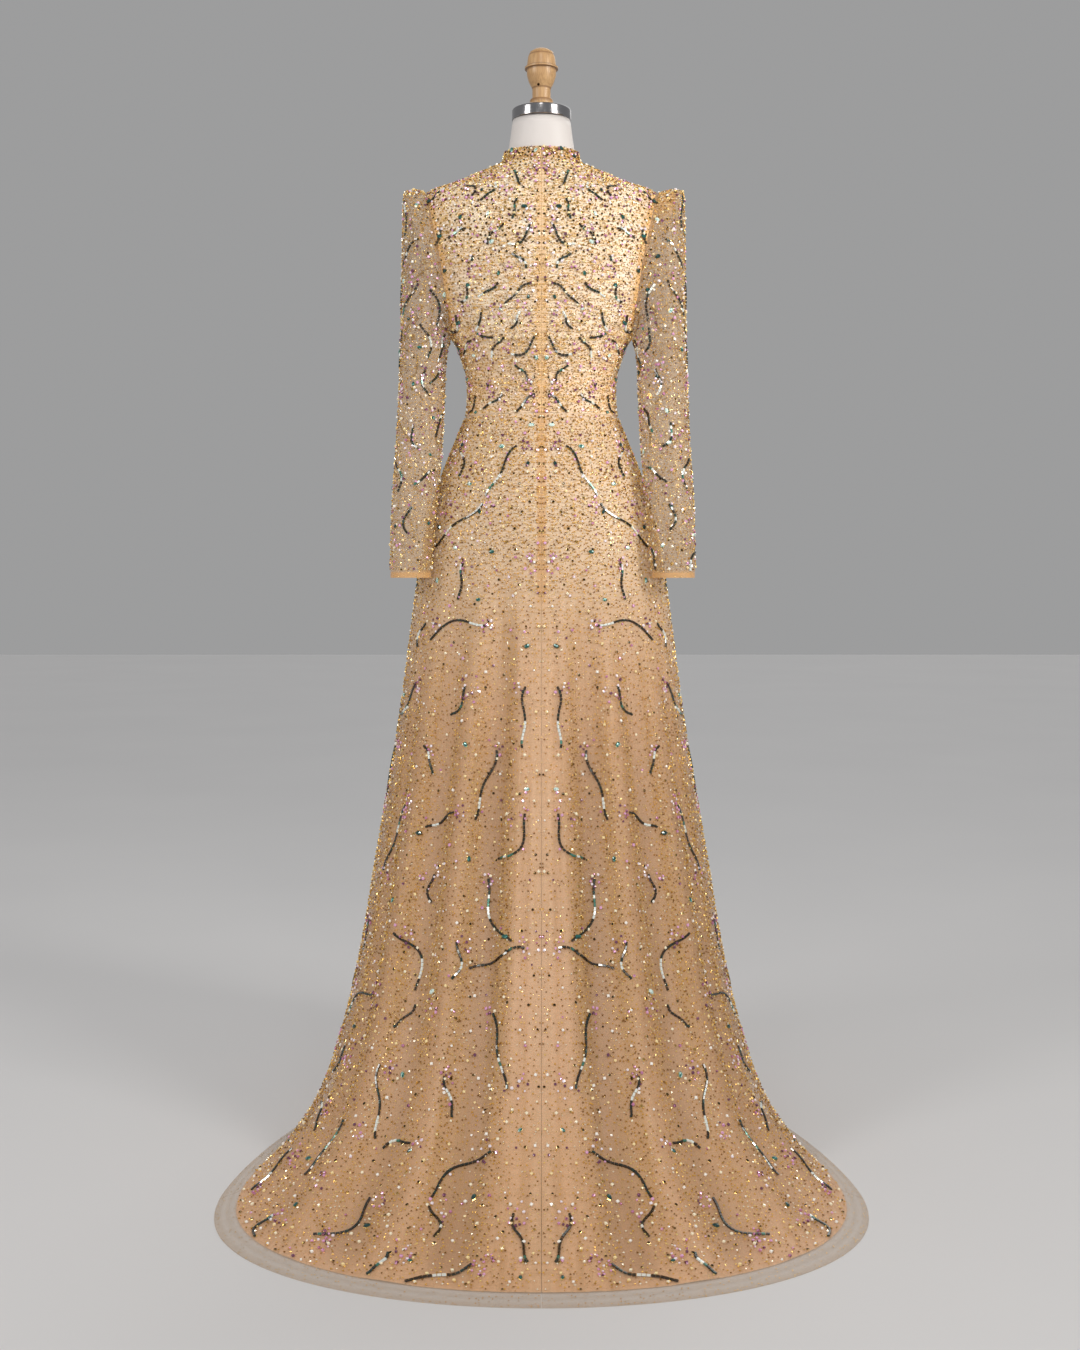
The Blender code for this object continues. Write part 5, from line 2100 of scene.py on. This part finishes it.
    def lay_runs(self, places: Array, lies: Array, runs: Array, used: Array) -> None:
        """Adds the bugles of each spray that stays clear of the sprays before it.

        Args:
            places: Points, by step and spray.
            lies: Normals, by step and spray.
            runs: Directions, by step and spray.
            used: Which of them hold a bugle.
        """
        laid = np.full((1, 3), self.far_off)
        for number in range(places.shape[1]):
            use = used[:, number]
            line = places[use, number]
            count = len(line)
            if count < self.shortest:
                continue
            if np.linalg.norm(line[:, None] - laid[None], axis=2).min() < self.clear:
                continue
            if np.abs(line[:, 0]).min() < self.centre_room:
                continue
            laid = np.concatenate([laid, line])
            sizes, tints = self.painted_glints(count)
            self.found.add(Kind.BUGLE, line, lies[use, number], runs[use, number], sizes, tints)

    def painted_glints(self, count: int) -> tuple[Array, Array]:
        """The sizes and tints of a run's bugles, a few of which in a row are painted pale as glints."""
        tints = self.dull * self.rng.random(count)
        bright, reach = self.rng.random(), self.painted_glint_reach * self.rng.random()
        painted_glint = np.abs(np.linspace(0.0, 1.0, count) - bright) < reach
        tints[painted_glint] = self.painted_glint + (1 - self.painted_glint) * self.rng.random(int(painted_glint.sum()))
        least, more = self.bugle_sizes
        return least + more * self.rng.random(count), tints

    def cluster(self, plan: ClusterPlan) -> None:
        """Groups rose stones round the places of a lattice.

        Args:
            plan: How the clusters are laid out.
        """
        least, more = self.cluster_sizes
        for _, _, row, column in self.lattice(plan.spacing, plan.level_spacing):
            count = int(self.rng.integers(plan.fewest, plan.most + 1))
            along, across = self.surface.directions(self.surface.points, np.full(1, row), np.full(1, column))
            far = plan.reach * np.sqrt(self.rng.random(count)) * (least + more * self.rng.random())
            turn = math.tau * self.rng.random(count)
            rows = row + far * np.cos(turn) / np.linalg.norm(along)
            columns = column + self.cluster_width * far * np.sin(turn) / np.linalg.norm(across)
            inside = self.within(rows, columns)
            if not inside.any():
                continue
            points, lies = self.lying(rows[inside], columns[inside])
            keep = thinned(points, np.full(len(points), self.stone_room))
            points, lies = points[keep], lies[keep]
            runs = self.loose_runs(lies)
            sizes = self.stone_sizes[0] + self.stone_sizes[1] * self.rng.random(len(points))
            self.found.add(Kind.ROSE, points, lies, runs, sizes, self.rng.random(len(points)))

    def lattice(self, spacing: float, level_spacing: float) -> list[Place]:
        """Places on a loose lattice, every other level moved by half a step.

        Args:
            spacing: From one place to the next on a level.
            level_spacing: From one level to the next.

        Returns:
            The level, the number on it, the row place and the column place of each.
        """
        rows = np.linspace(*self.row_span, 400)
        middle = np.full(len(rows), sum(self.column_span) / 2)
        down = run_lengths(self.surface.points(rows, middle))
        columns = np.linspace(*self.column_span, 200)
        found = []
        for level in range(int(down[-1] / level_spacing)):
            row = float(np.interp((level + self.first_level) * level_spacing, down, rows))
            round_way = run_lengths(self.surface.points(np.full(len(columns), row), columns))
            shift = 0.25 + 0.5 * (level % 2)
            for number in range(int(round_way[-1] / spacing) + 1):
                away = (number + shift + self.stray * (self.rng.random() - 0.5)) * spacing
                if away < round_way[-1]:
                    step = self.stray * (self.rng.random() - 0.5) * (rows[1] - rows[0])
                    place = float(np.interp(away, round_way, columns))
                    found.append((level, number, row + step, place))
        return found

    def planned(self, plan: SprayPlan) -> list[Spray]:
        """The sprays of a plan, each on its place of the lattice.

        Args:
            plan: How the sprays differ.

        Returns:
            The sprays, in the lattice's order.
        """
        sprays = []
        for level, number, row, column in self.lattice(plan.spacing, plan.level_spacing):
            if row <= plan.last_row:
                heading = plan.heading.at(level, number) + plan.loose * (self.rng.random() - 0.5)
                rest = (cycle.at(level, number) for cycle in (plan.curl, plan.sway, plan.length))
                sprays.append(Spray(row, column, heading, *rest))
        return sprays

    def fill(self) -> None:
        """Adds every kind of bead."""
        for sowing in self.sowings:
            self.sow(sowing)
        if self.sprays:
            self.walk(self.planned(self.sprays))
        if self.clusters:
            self.cluster(self.clusters)

    def beads(self, side: Side) -> Beads:
        """The panel's beads on the wearer's left or right."""
        self.fill()
        return self.found.mirrored() if side is Side.RIGHT else self.found


def thinned(points: Array, room: Array) -> Array:
    """Which points to keep so that each has its own room.

    Args:
        points: The points, the first to keep first.
        room: The least distance from each kept point to the others.

    Returns:
        The indices to keep, in order.
    """
    tree = KDTree(len(points))
    for index, point in enumerate(points):
        tree.insert(point, index)
    tree.balance()
    free = np.ones(len(points), bool)
    kept = []
    for index, point in enumerate(points):
        if free[index]:
            kept.append(index)
            for _, near, _ in tree.find_range(point, float(room[index])):
                free[near] = False
    return np.array(kept, int)


class BodiceBeads(PanelBeads):
    """Beads of the bodice: dark-eyed sequins above, gold seeds all over, and short curved sprays."""

    row_span = (0.05, 15.95)
    column_span = (0.012, 0.988)
    cells = (150, 70)
    sowings = (
        Sowing(Kind.SEED, even(42000.0), 0.5, 0.5, 0.7),
        Sowing(Kind.SEQUIN, lambda r, c, p: 1300 + 10500 * smooth_step(p[:, 2], 1.33, 1.43), 0.95, 0.3),
        Sowing(Kind.PEARL, even(1800.0), 0.7, 0.5),
        Sowing(Kind.TEAL, lambda r, c, p: 330 * off_centre(p), 0.9, 0.4),
        Sowing(Kind.ROSE, even(1500.0), 0.3, 0.5),
    )
    sprays = SprayPlan(
        0.052,
        0.046,
        Cycle((38.0, -26.0, 64.0, 12.0), 1, 2),
        16.0,
        Cycle((-58.0, 46.0, 70.0, -30.0), 1, 1),
        Cycle((-20.0, 18.0), 0, 1),
        Cycle((0.056, 0.040, 0.036, 0.068), 2, 1),
    )
    clusters = ClusterPlan(0.062, 0.066, 8, 15, 0.016)

    def __init__(self, front: bool) -> None:
        """Sets the panel's half and its seed."""
        self.seed = 23 if front else 11
        self.surface = BodiceSurface(front=front)
        super().__init__()


class CollarBeads(PanelBeads):
    """Beads of the collar: closely set sequins and seeds, and a few short sprays."""

    seed = 31
    row_span = (0.08, 1.92)
    column_span = (0.03, math.tau - 0.03)
    cells = (12, 160)
    sowings = (
        Sowing(Kind.SEED, even(80000.0), 0.6, 0.5),
        Sowing(Kind.SEQUIN, even(27000.0), 0.9, 0.35),
        Sowing(Kind.PEARL, even(3000.0), 0.6, 0.4),
        Sowing(Kind.TEAL, even(1100.0), 0.9, 0.3),
        Sowing(Kind.ROSE, even(4200.0), 0.3, 0.4),
    )
    spray_places: tuple[float, ...] = (0.42, 1.25, 2.1, 2.75)  # on the left, in radians
    spray_headings: Span = (-12.0, 10.0)  # in turn
    spray_row: float = 1.6
    spray_curl: float = 40.0
    spray_length: float = 0.014

    def __init__(self) -> None:
        """Reads the collar's surface."""
        self.surface = CollarSurface()
        super().__init__()

    def fill(self) -> None:
        """Adds every kind of bead."""
        super().fill()
        places = [*self.spray_places, *(math.tau - place for place in self.spray_places)]
        headings = [self.spray_headings[number % 2] for number in range(len(places))]
        curl, length = self.spray_curl, self.spray_length
        pairs = zip(places, headings)
        self.walk([Spray(self.spray_row, place, lean, curl, 0.0, length) for place, lean in pairs])


class SleeveBeads(PanelBeads):
    """Beads of a sleeve: gold seeds, thinner in the middle, and a few longer sprays."""

    seed = 47
    row_span = (0.15, CUFF_ROW - 0.22)
    column_span = (0.0, math.tau)
    cells = (150, 60)
    sowings = (
        Sowing(Kind.SEED, fading(25000, 14000, 1.0, 4.0), 0.5, 0.5),
        Sowing(Kind.SEQUIN, fading(900, 3800, 0.4, 2.4), 0.9, 0.35),
        Sowing(Kind.PEARL, even(1500.0), 0.6, 0.5),
        Sowing(Kind.TEAL, even(260.0), 0.9, 0.4),
        Sowing(Kind.ROSE, even(1100.0), 0.3, 0.5),
    )
    sprays = SprayPlan(
        0.085,
        0.074,
        Cycle((14.0, -30.0, 48.0, -8.0), 1, 1),
        14.0,
        Cycle((-44.0, 52.0, -60.0, 30.0), 2, 1),
        Cycle((-18.0, 16.0), 1, 0),
        Cycle((0.050, 0.062), 0, 1),
    )
    clusters = ClusterPlan(0.100, 0.080, 8, 14, 0.018)

    def __init__(self, surface: SleeveSurface) -> None:
        """Reads the sleeve's surface."""
        self.surface = surface
        super().__init__()


class SkirtBeads(PanelBeads):
    """Beads of the skirt: ribbons of gold seeds between the folds, long sprays and scattered stones."""

    row_span = (0.05, 13.96)
    cells = (190, 110)
    centre_room = 0.016
    sprays = SprayPlan(
        0.112,
        0.096,
        Cycle((16.0, 42.0, -22.0, 68.0, -6.0), 1, 2),
        18.0,
        Cycle((-52.0, 40.0, 64.0, -34.0), 1, 1),
        Cycle((-24.0, 22.0), 1, 0),
        Cycle((0.098, 0.060, 0.112, 0.050), 2, 1),
        last_row=13.6,
    )
    clusters = ClusterPlan(0.105, 0.096, 10, 19, 0.020)

    def __init__(self, front: bool) -> None:
        """Sets the panel's half and its seed.

        Args:
            front: Whether it is the front panel.
        """
        self.seed = 71 if front else 59
        self.column_span = (90.3, 180.0) if front else (0.3, 89.7)
        self.share = 0.76 if front else 1.0
        self.surface = SkirtSurface()
        teal = fading(55, 170, 2.0, 6.0)
        self.sowings = (
            Sowing(Kind.SEED, self.seeds, 0.4, 0.5, 0.55, 1.14),
            Sowing(Kind.SEQUIN, fading(480, 1300, 1.5, 5.0), 0.7, 0.4),
            Sowing(Kind.PEARL, lambda r, c, p: 500 + 300 * smooth_step(r, 4.0, 8.0), 0.6, 0.6),
            Sowing(Kind.TEAL, lambda r, c, p: teal(r, c, p) * off_centre(p), 0.9, 0.4),
            Sowing(Kind.ROSE, fading(150, 700, 2.0, 6.0), 0.3, 0.5),
        )
        super().__init__()

    def seeds(self, rows: Array, columns: Array, points: Array) -> Array:
        """Gold seeds for each square metre: many over the hips, and in the ribbons below."""
        hips = 1 - smooth_step(rows, 1.5, 6.0)
        return self.share * (7500 + 24000 * hips + 21000 * ribbon_share(rows, columns))


# ---- Zip ----
@dataclass
class Zip:
    """The closed zip behind the centre-back seam: its tape and its coil."""

    pitch: float = 0.0023
    stagger: float = 0.0005
    middle: float = 0.001  # half the width in which the tape's middle points are looked for
    raised: float = 0.0001
    level_reach: float = 0.002  # how far from a level its points are looked for
    far_tint: float = 0.6  # of the teeth on the left, where those on the right have 0

    def build(self, beadwork: "Beadwork") -> None:
        """Gives the tape its weave and adds the coil on its inner face.

        Args:
            beadwork: What sews the beads on.
        """
        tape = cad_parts["zip"]
        tape.data.materials.clear()
        tape.data.materials.append(made(ZipTape()))
        points = np.array([vertex.co[:] for vertex in tape.data.vertices])
        points = points[np.abs(points[:, 0]) < self.middle]
        heights = np.unique(points[:, 2].round(4))
        levels = (points[np.abs(points[:, 2] - z) < self.level_reach] for z in heights)
        inner = np.array([level[:, 1].min() for level in levels])
        places = np.arange(heights[0] + self.pitch, heights[-1] - self.pitch, self.pitch)
        y = np.interp(places, heights, inner) - self.raised
        slope = np.gradient(y, places)
        x = self.stagger * np.where(np.arange(len(places)) % 2, 1.0, -1.0)
        lies = unit(np.stack([0 * x, -np.ones(len(x)), slope], axis=1))
        runs = np.tile([1.0, 0.0, 0.0], (len(x), 1))
        teeth = Beads()
        tints = (x > 0) * self.far_tint
        teeth.add(Kind.TOOTH, np.stack([x, y, places], axis=1), lies, runs, np.ones(len(x)), tints)
        beadwork.sew("zip", [teeth], "zip_tape")


# ---- Dress form ----
@dataclass(frozen=True)
class FormRow:
    """One level ring of the form."""

    height: float
    half_width: float
    back_y: float
    front_y: float


HIP_ROWS = rows_of(
    FormRow,
    (0.812, 0.140, 0.094, 0.086),
    (0.822, 0.158, 0.109, 0.100),
    (0.850, 0.1740, 0.124, 0.112),
    (0.905, 0.1760, 0.129, 0.116),
    (0.960, 0.1650, 0.126, 0.111),
    (1.030, 0.1420, 0.112, 0.101),
    (1.085, 0.1250, 0.0935, 0.092),
)
NECK_RING = FormRow(1.6187, 0.0478, 0.0400, 0.0490)
NECK_MIDDLE_Y = -0.0045
FINIAL_PROFILE = [
    (0.0193, 0.0000),
    (0.0193, 0.0145),
    (0.0180, 0.0168),
    (0.0150, 0.0170),
    (0.0150, 0.0330),
    (0.0162, 0.0370),
    (0.0207, 0.0455),
    (0.0237, 0.0560),
    (0.0243, 0.0655),
    (0.0275, 0.0665),
    (0.0275, 0.0695),
    (0.0240, 0.0705),
    (0.0236, 0.0760),
    (0.0220, 0.0875),
    (0.0190, 0.0945),
    (0.0125, 0.0990),
]
STEM_RADIUS = FINIAL_PROFILE[4][0]


def closed_stack(name: str, rings: list[Array], round_edges: bool) -> bpy.types.Mesh:
    """A closed solid through a stack of rings of points.

    Args:
        name: The mesh's name.
        rings: The rings, from the bottom up, with as many points each.
        round_edges: Whether a subdivision may round off the solid's flat ends.

    Returns:
        The smooth-shaded mesh.
    """
    mesh = bmesh.new()
    circles = [[mesh.verts.new(point) for point in ring] for ring in rings]
    count = len(circles[0])
    for low, high in zip(circles, circles[1:]):
        for i in range(count):
            mesh.faces.new((low[i], low[(i + 1) % count], high[(i + 1) % count], high[i]))
    mesh.faces.new(circles[0][::-1])
    mesh.faces.new(circles[-1])
    if not round_edges:
        crease = mesh.edges.layers.float.new("crease_edge")
        for circle in (circles[0], circles[-1]):
            for i in range(count):
                mesh.edges.get((circle[i], circle[(i + 1) % count]))[crease] = 1.0
    bmesh.ops.recalc_face_normals(mesh, faces=mesh.faces)
    data = bpy.data.meshes.new(name)
    mesh.to_mesh(data)
    mesh.free()
    data.shade_smooth()
    return data


@dataclass
class DressForm:
    """The limbless form: covered torso and neck, plated cap, wooden finial, pole and foot."""

    half_columns: int = 8
    plate_bulge: float = 0.006
    levels: int = 2
    cap_radius: float = 0.0486
    cap_edge: float = 0.0030
    cap_height: float = 0.0180
    cap_bevel: float = 0.0008
    cap_flat: float = 2.2  # from the cap's side to its flat top, in edge widths
    foot_edge: float = 0.005
    foot_bevel: float = 0.001
    sides: int = 72
    edge_steps: int = 6
    neck_y: float = NECK_MIDDLE_Y
    sharp: float = math.radians(35)
    grooves: tuple[float, ...] = (0.0155, 0.0345, 0.0660, 0.0700, 0.0905)  # heights on the finial
    finial_steps: tuple[float, ...] = (0.0, 0.34, 0.67)  # where rings lie between two of the profile's
    groove_width: float = 0.0012
    groove_share: float = 0.7
    hole: Span = (0.0022, 0.008)  # radius and depth
    hole_place: Span = (0.005, 1.675)
    hole_sides: int = 20
    hole_rim: float = 0.0008  # how far in its wall the painted shade starts

    @property
    def turns(self) -> Array:
        """The angles of a ring's points, from the centre back towards the left."""
        return np.linspace(0.0, math.tau, 4 * self.half_columns, endpoint=False)

    def level_ring(self, row: FormRow, middle_y: float = 0.0) -> Array:
        """A level ring of points, from the centre back towards the left and all the way round."""
        away = np.cos(self.turns)
        reach = np.where(away >= 0, row.back_y - middle_y, row.front_y + middle_y)
        height = np.full(len(away), row.height)
        return np.stack([row.half_width * np.sin(self.turns), middle_y + reach * away, height], axis=1)

    def inside_ring(self, row: int) -> Array:
        """The ring of points that lies inside one row of the bodice.

        Args:
            row: The bodice's row.

        Returns:
            The ring's points.
        """
        shares = np.linspace(0.0, 1.0, self.half_columns + 1)
        rows = np.full(len(shares), float(row))
        seated = SHOULDER_ROW <= row < NECK_ROW
        depth = CLOTH + EASE + (SEAT_GAP - EASE) * (shares if seated else 0 * shares)
        halves = []
        for front in (False, True):
            surface = BodiceSurface(front=front)
            normals = surface.facing(surface.base, rows, shares)
            halves.append(surface.base(rows, shares) - normals * depth[:, None])
        behind, before = halves
        side = (behind[-1] + before[-1]) / 2
        if UNDERARM_ROW < row < SHOULDER_ROW:
            rise = (row - UNDERARM_ROW) / (SHOULDER_ROW - UNDERARM_ROW)
            side[0] += self.plate_bulge * math.sin(math.pi * rise)
        left = np.concatenate([behind[:-1], side[None], before[-2::-1]])
        left[[0, -1], 0] = 0.0
        return np.concatenate([left, mirrored(left[-2:0:-1])])

    def collar_ring(self, row: float) -> Array:
        """The ring of points that lies inside the collar."""
        rows = np.full(len(self.turns), row)
        surface = CollarSurface()
        depth = COLLAR_CLOTH + EASE
        return surface.base(rows, self.turns) - surface.facing(surface.base, rows, self.turns) * depth

    def build_torso(self) -> None:
        """Builds the torso and neck as one smooth closed solid."""
        rings = [self.level_ring(row) for row in HIP_ROWS]
        rings += [self.inside_ring(row) for row in range(NECK_ROW + 1)]
        rings += [self.collar_ring(1.0), self.collar_ring(2.0), self.level_ring(NECK_RING, self.neck_y)]
        obj = new_object("form_cover", closed_stack("form_cover", rings, round_edges=False))
        smoother = obj.modifiers.new("smooth", "SUBSURF")
        smoother.levels = smoother.render_levels = self.levels
        dress(obj, FORM_COVER, "form_cover", "form_torso")

    def turned(self, name: str, profile: list[Span], middle_y: float) -> bpy.types.Object:
        """A turned piece on an upright axis.

        Args:
            name: The piece's name.
            profile: Radius and height pairs, from the bottom middle to the top middle.
            middle_y: Where the axis lies.

        Returns:
            The new object.
        """
        turns = [math.tau * i / self.sides for i in range(self.sides)]
        rings = [
            [(radius * math.sin(a), middle_y + radius * math.cos(a), height) for a in turns]
            for radius, height in profile
        ]
        data = closed_stack(name, rings, round_edges=True)
        data.set_sharp_from_angle(angle=self.sharp)
        return new_object(name, data)

    def rounded(self, radius: float, top: float, edge: float) -> list[Span]:
        """The profile of a rounded upper edge, from its side to its top."""
        turns = [step / self.edge_steps * math.pi / 2 for step in range(self.edge_steps + 1)]
        return [(radius - edge * (1 - math.cos(a)), top - edge * (1 - math.sin(a))) for a in turns]

    def build_cap(self) -> None:
        """Builds the plated cap with rounded edges."""
        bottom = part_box("neck_cap")[0].z
        top = bottom + self.cap_height
        profile = [(self.cap_radius - self.cap_bevel, bottom), (self.cap_radius, bottom + self.cap_bevel)]
        profile += self.rounded(self.cap_radius, top, self.cap_edge)
        profile.append((self.cap_radius - self.cap_flat * self.cap_edge, top))
        dress(self.turned("neck_plate", profile, self.neck_y), BRIGHT_PLATE, "bright_metal", "neck_cap")

    def build_finial(self) -> None:
        """Builds the wooden finial, with dark rings at the heights of its grooves and painted shade in its
        hole.
        """
        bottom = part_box("finial")[0].z
        profile = []
        for (r0, z0), (r1, z1) in zip(FINIAL_PROFILE, FINIAL_PROFILE[1:]):
            for share in self.finial_steps:
                profile.append((r0 + (r1 - r0) * share, bottom + z0 + (z1 - z0) * share))
        profile.append((FINIAL_PROFILE[-1][0], bottom + FINIAL_PROFILE[-1][1]))
        obj = self.drilled(self.turned("wood_finial", profile, self.neck_y))
        grooves_and_hole_shade = obj.data.attributes.new("grooves_and_hole_shade", "FLOAT", "POINT")
        places = np.array([vertex.co for vertex in obj.data.vertices])
        near = np.abs(places[:, 2:] - bottom - np.array(self.grooves)).min(axis=1)
        off = np.hypot(places[:, 0], places[:, 1] - self.neck_y)
        # painted shade: the wall of the hole is darkened, like the rings at the grooves
        level = np.abs(places[:, 2] - self.hole_place[1]) < 0.5 * self.hole[1]
        hole_shade = level & (off < STEM_RADIUS - self.hole_rim)
        marks = np.maximum(self.groove_share * (near < self.groove_width), hole_shade)
        grooves_and_hole_shade.data.foreach_set("value", marks.astype(np.float32))
        dress(obj, TURNED_WOOD, "turned_wood", "finial")

    def drilled(self, obj: bpy.types.Object) -> bpy.types.Object:
        """The finial with the small blind hole in the back of its stem.

        Args:
            obj: The finial.

        Returns:
            The same object.
        """
        mesh = bmesh.new()
        x, z = self.hole_place
        radius, depth = self.hole
        place = Matrix.Translation((x, self.neck_y + STEM_RADIUS, z)) @ Matrix.Rotation(math.pi / 2, 4, "X")
        bmesh.ops.create_cone(
            mesh,
            cap_ends=True,
            segments=self.hole_sides,
            radius1=radius,
            radius2=radius,
            depth=2 * depth,
            matrix=place,
        )
        data = bpy.data.meshes.new("finial_hole")
        mesh.to_mesh(data)
        mesh.free()
        tool = new_object("finial_hole", data)
        cut = obj.modifiers.new("hole", "BOOLEAN")
        cut.operation, cut.solver, cut.object = "DIFFERENCE", "EXACT", tool
        settled(obj)
        bpy.data.objects.remove(tool)
        return obj

    def build_stand(self) -> None:
        """Builds the pole and the foot."""
        low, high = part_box("pole")
        pole = [(high.x, low.z), (high.x, high.z)]
        dress(self.turned("stand_pole", pole, 0.0), SATIN_ENAMEL, "painted_metal", "pole")
        low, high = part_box("base")
        foot = [(high.x - self.foot_bevel, low.z), (high.x, low.z + self.foot_bevel)]
        foot += self.rounded(high.x, high.z, self.foot_edge)
        dress(self.turned("stand_foot", foot, 0.0), SATIN_ENAMEL, "painted_metal", "base")

    def build(self) -> None:
        """Builds every part of the form."""
        self.build_torso()
        self.build_cap()
        self.build_finial()
        self.build_stand()


# ---- Studio ----
NARROW = math.radians(40)


@dataclass(frozen=True)
class Sun:
    """An even light over the whole floor. way points towards it."""

    way: Triple
    strength: float
    angle: float
    colour: Colour


@dataclass(frozen=True)
class Lamp:
    """A soft light. Its size is its width and height."""

    name: str
    place: Triple
    target: Triple
    size: Span
    power: float
    colour: Colour
    spread: float = math.pi


@dataclass
class Studio:
    """The floor, the lights and the camera."""

    floor_size: float = 24.0
    camera_place: Triple = (0.0, 2.523, 0.896)
    lens: float = 40.907
    shift: Span = (-0.0011, -0.0852)
    world: Colour = (0.80, 0.80, 0.805)
    world_strength: float = 0.42
    suns: tuple[Sun, ...] = (
        Sun((0.15, 3.0, 1.9), 0.66, math.radians(10), (1.0, 0.97, 0.93)),
        Sun((-0.8, -3.0, 2.4), 0.42, math.radians(45), (1.0, 0.98, 0.96)),
    )
    lamps: tuple[Lamp, ...] = (
        Lamp("key", (-1.9, 1.5, 2.4), (0.0, 0.1, 1.4), (0.8, 0.8), 24.0, (1.0, 0.965, 0.92)),
        Lamp("fill", (2.1, 1.4, 2.2), (0.0, 0.1, 1.4), (0.8, 0.8), 20.0, (1.0, 0.97, 0.94)),
        Lamp("shoulder", (-2.0, 1.2, 1.8), (-0.20, 0.0, 1.25), (0.4, 0.4), 1.5, (1.0, 0.97, 0.93), NARROW),
        Lamp("left_strip", (0.9, 3.3, 1.7), (0.0, 0.0, 1.5), (0.12, 1.6), 5.0, (1.0, 0.98, 0.96)),
        Lamp("right_strip", (-0.8, 3.4, 1.7), (0.0, 0.0, 1.5), (0.12, 1.6), 5.0, (1.0, 0.98, 0.96)),
    )

    def build_floor(self) -> None:
        """Lays the studio paper."""
        half = self.floor_size / 2
        data = bpy.data.meshes.new("floor")
        corners = [(-half, -half, 0.0), (half, -half, 0.0), (half, half, 0.0), (-half, half, 0.0)]
        data.from_pydata(corners, [], [(0, 1, 2, 3)])
        floor = new_object("floor", data)
        floor.data.materials.append(made(FLOOR_PAPER))

    def hang(self, light: bpy.types.Light, power: float, colour: Colour, way: Vector) -> bpy.types.Object:
        """Hangs a light at the origin, shining along a way."""
        light.energy = power
        light.color = colour
        holder = new_object(light.name, light)
        holder.rotation_euler = way.to_track_quat("-Z", "Y").to_euler()
        return holder

    def build_lights(self) -> None:
        """Hangs the lamps and the suns, and lights the room."""
        for lamp in self.lamps:
            light = bpy.data.lights.new(lamp.name, "AREA")
            light.shape = "RECTANGLE"
            light.size, light.size_y = lamp.size
            light.spread = lamp.spread
            way = Vector(lamp.target) - Vector(lamp.place)
            self.hang(light, lamp.power, lamp.colour, way).location = lamp.place
        for sun in self.suns:
            light = bpy.data.lights.new("sun", "SUN")
            light.angle = sun.angle
            self.hang(light, sun.strength, sun.colour, -Vector(sun.way))
        world = bpy.data.worlds.new("studio")
        world.use_nodes = True
        background = world.node_tree.nodes["Background"]
        background.inputs["Color"].default_value = (*self.world, 1.0)
        background.inputs["Strength"].default_value = self.world_strength
        bpy.context.scene.world = world

    def build_camera(self) -> None:
        """Sets up the camera, level and behind the gown."""
        scene = bpy.context.scene
        scene.view_settings.view_transform = "Standard"
        camera = bpy.data.cameras.new("camera")
        camera.lens = self.lens
        camera.shift_x, camera.shift_y = self.shift
        scene.camera = new_object("camera", camera)
        scene.camera.location = self.camera_place
        scene.camera.rotation_euler = (math.pi / 2, 0.0, math.pi)

    def build(self) -> None:
        """Builds the whole studio."""
        self.build_floor()
        self.build_lights()
        self.build_camera()


def main() -> None:
    """Builds the studio, the form and the gown."""
    logging.basicConfig(level=logging.INFO, format="%(message)s")
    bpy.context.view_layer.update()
    Studio().build()
    DressForm().build()
    beadwork = Beadwork()
    Zip().build(beadwork)
    Bodice().build(beadwork)
    Collar().build(beadwork)
    Sleeves().build(beadwork)
    Skirt().build(beadwork)


if __name__ == "__main__":
    main()
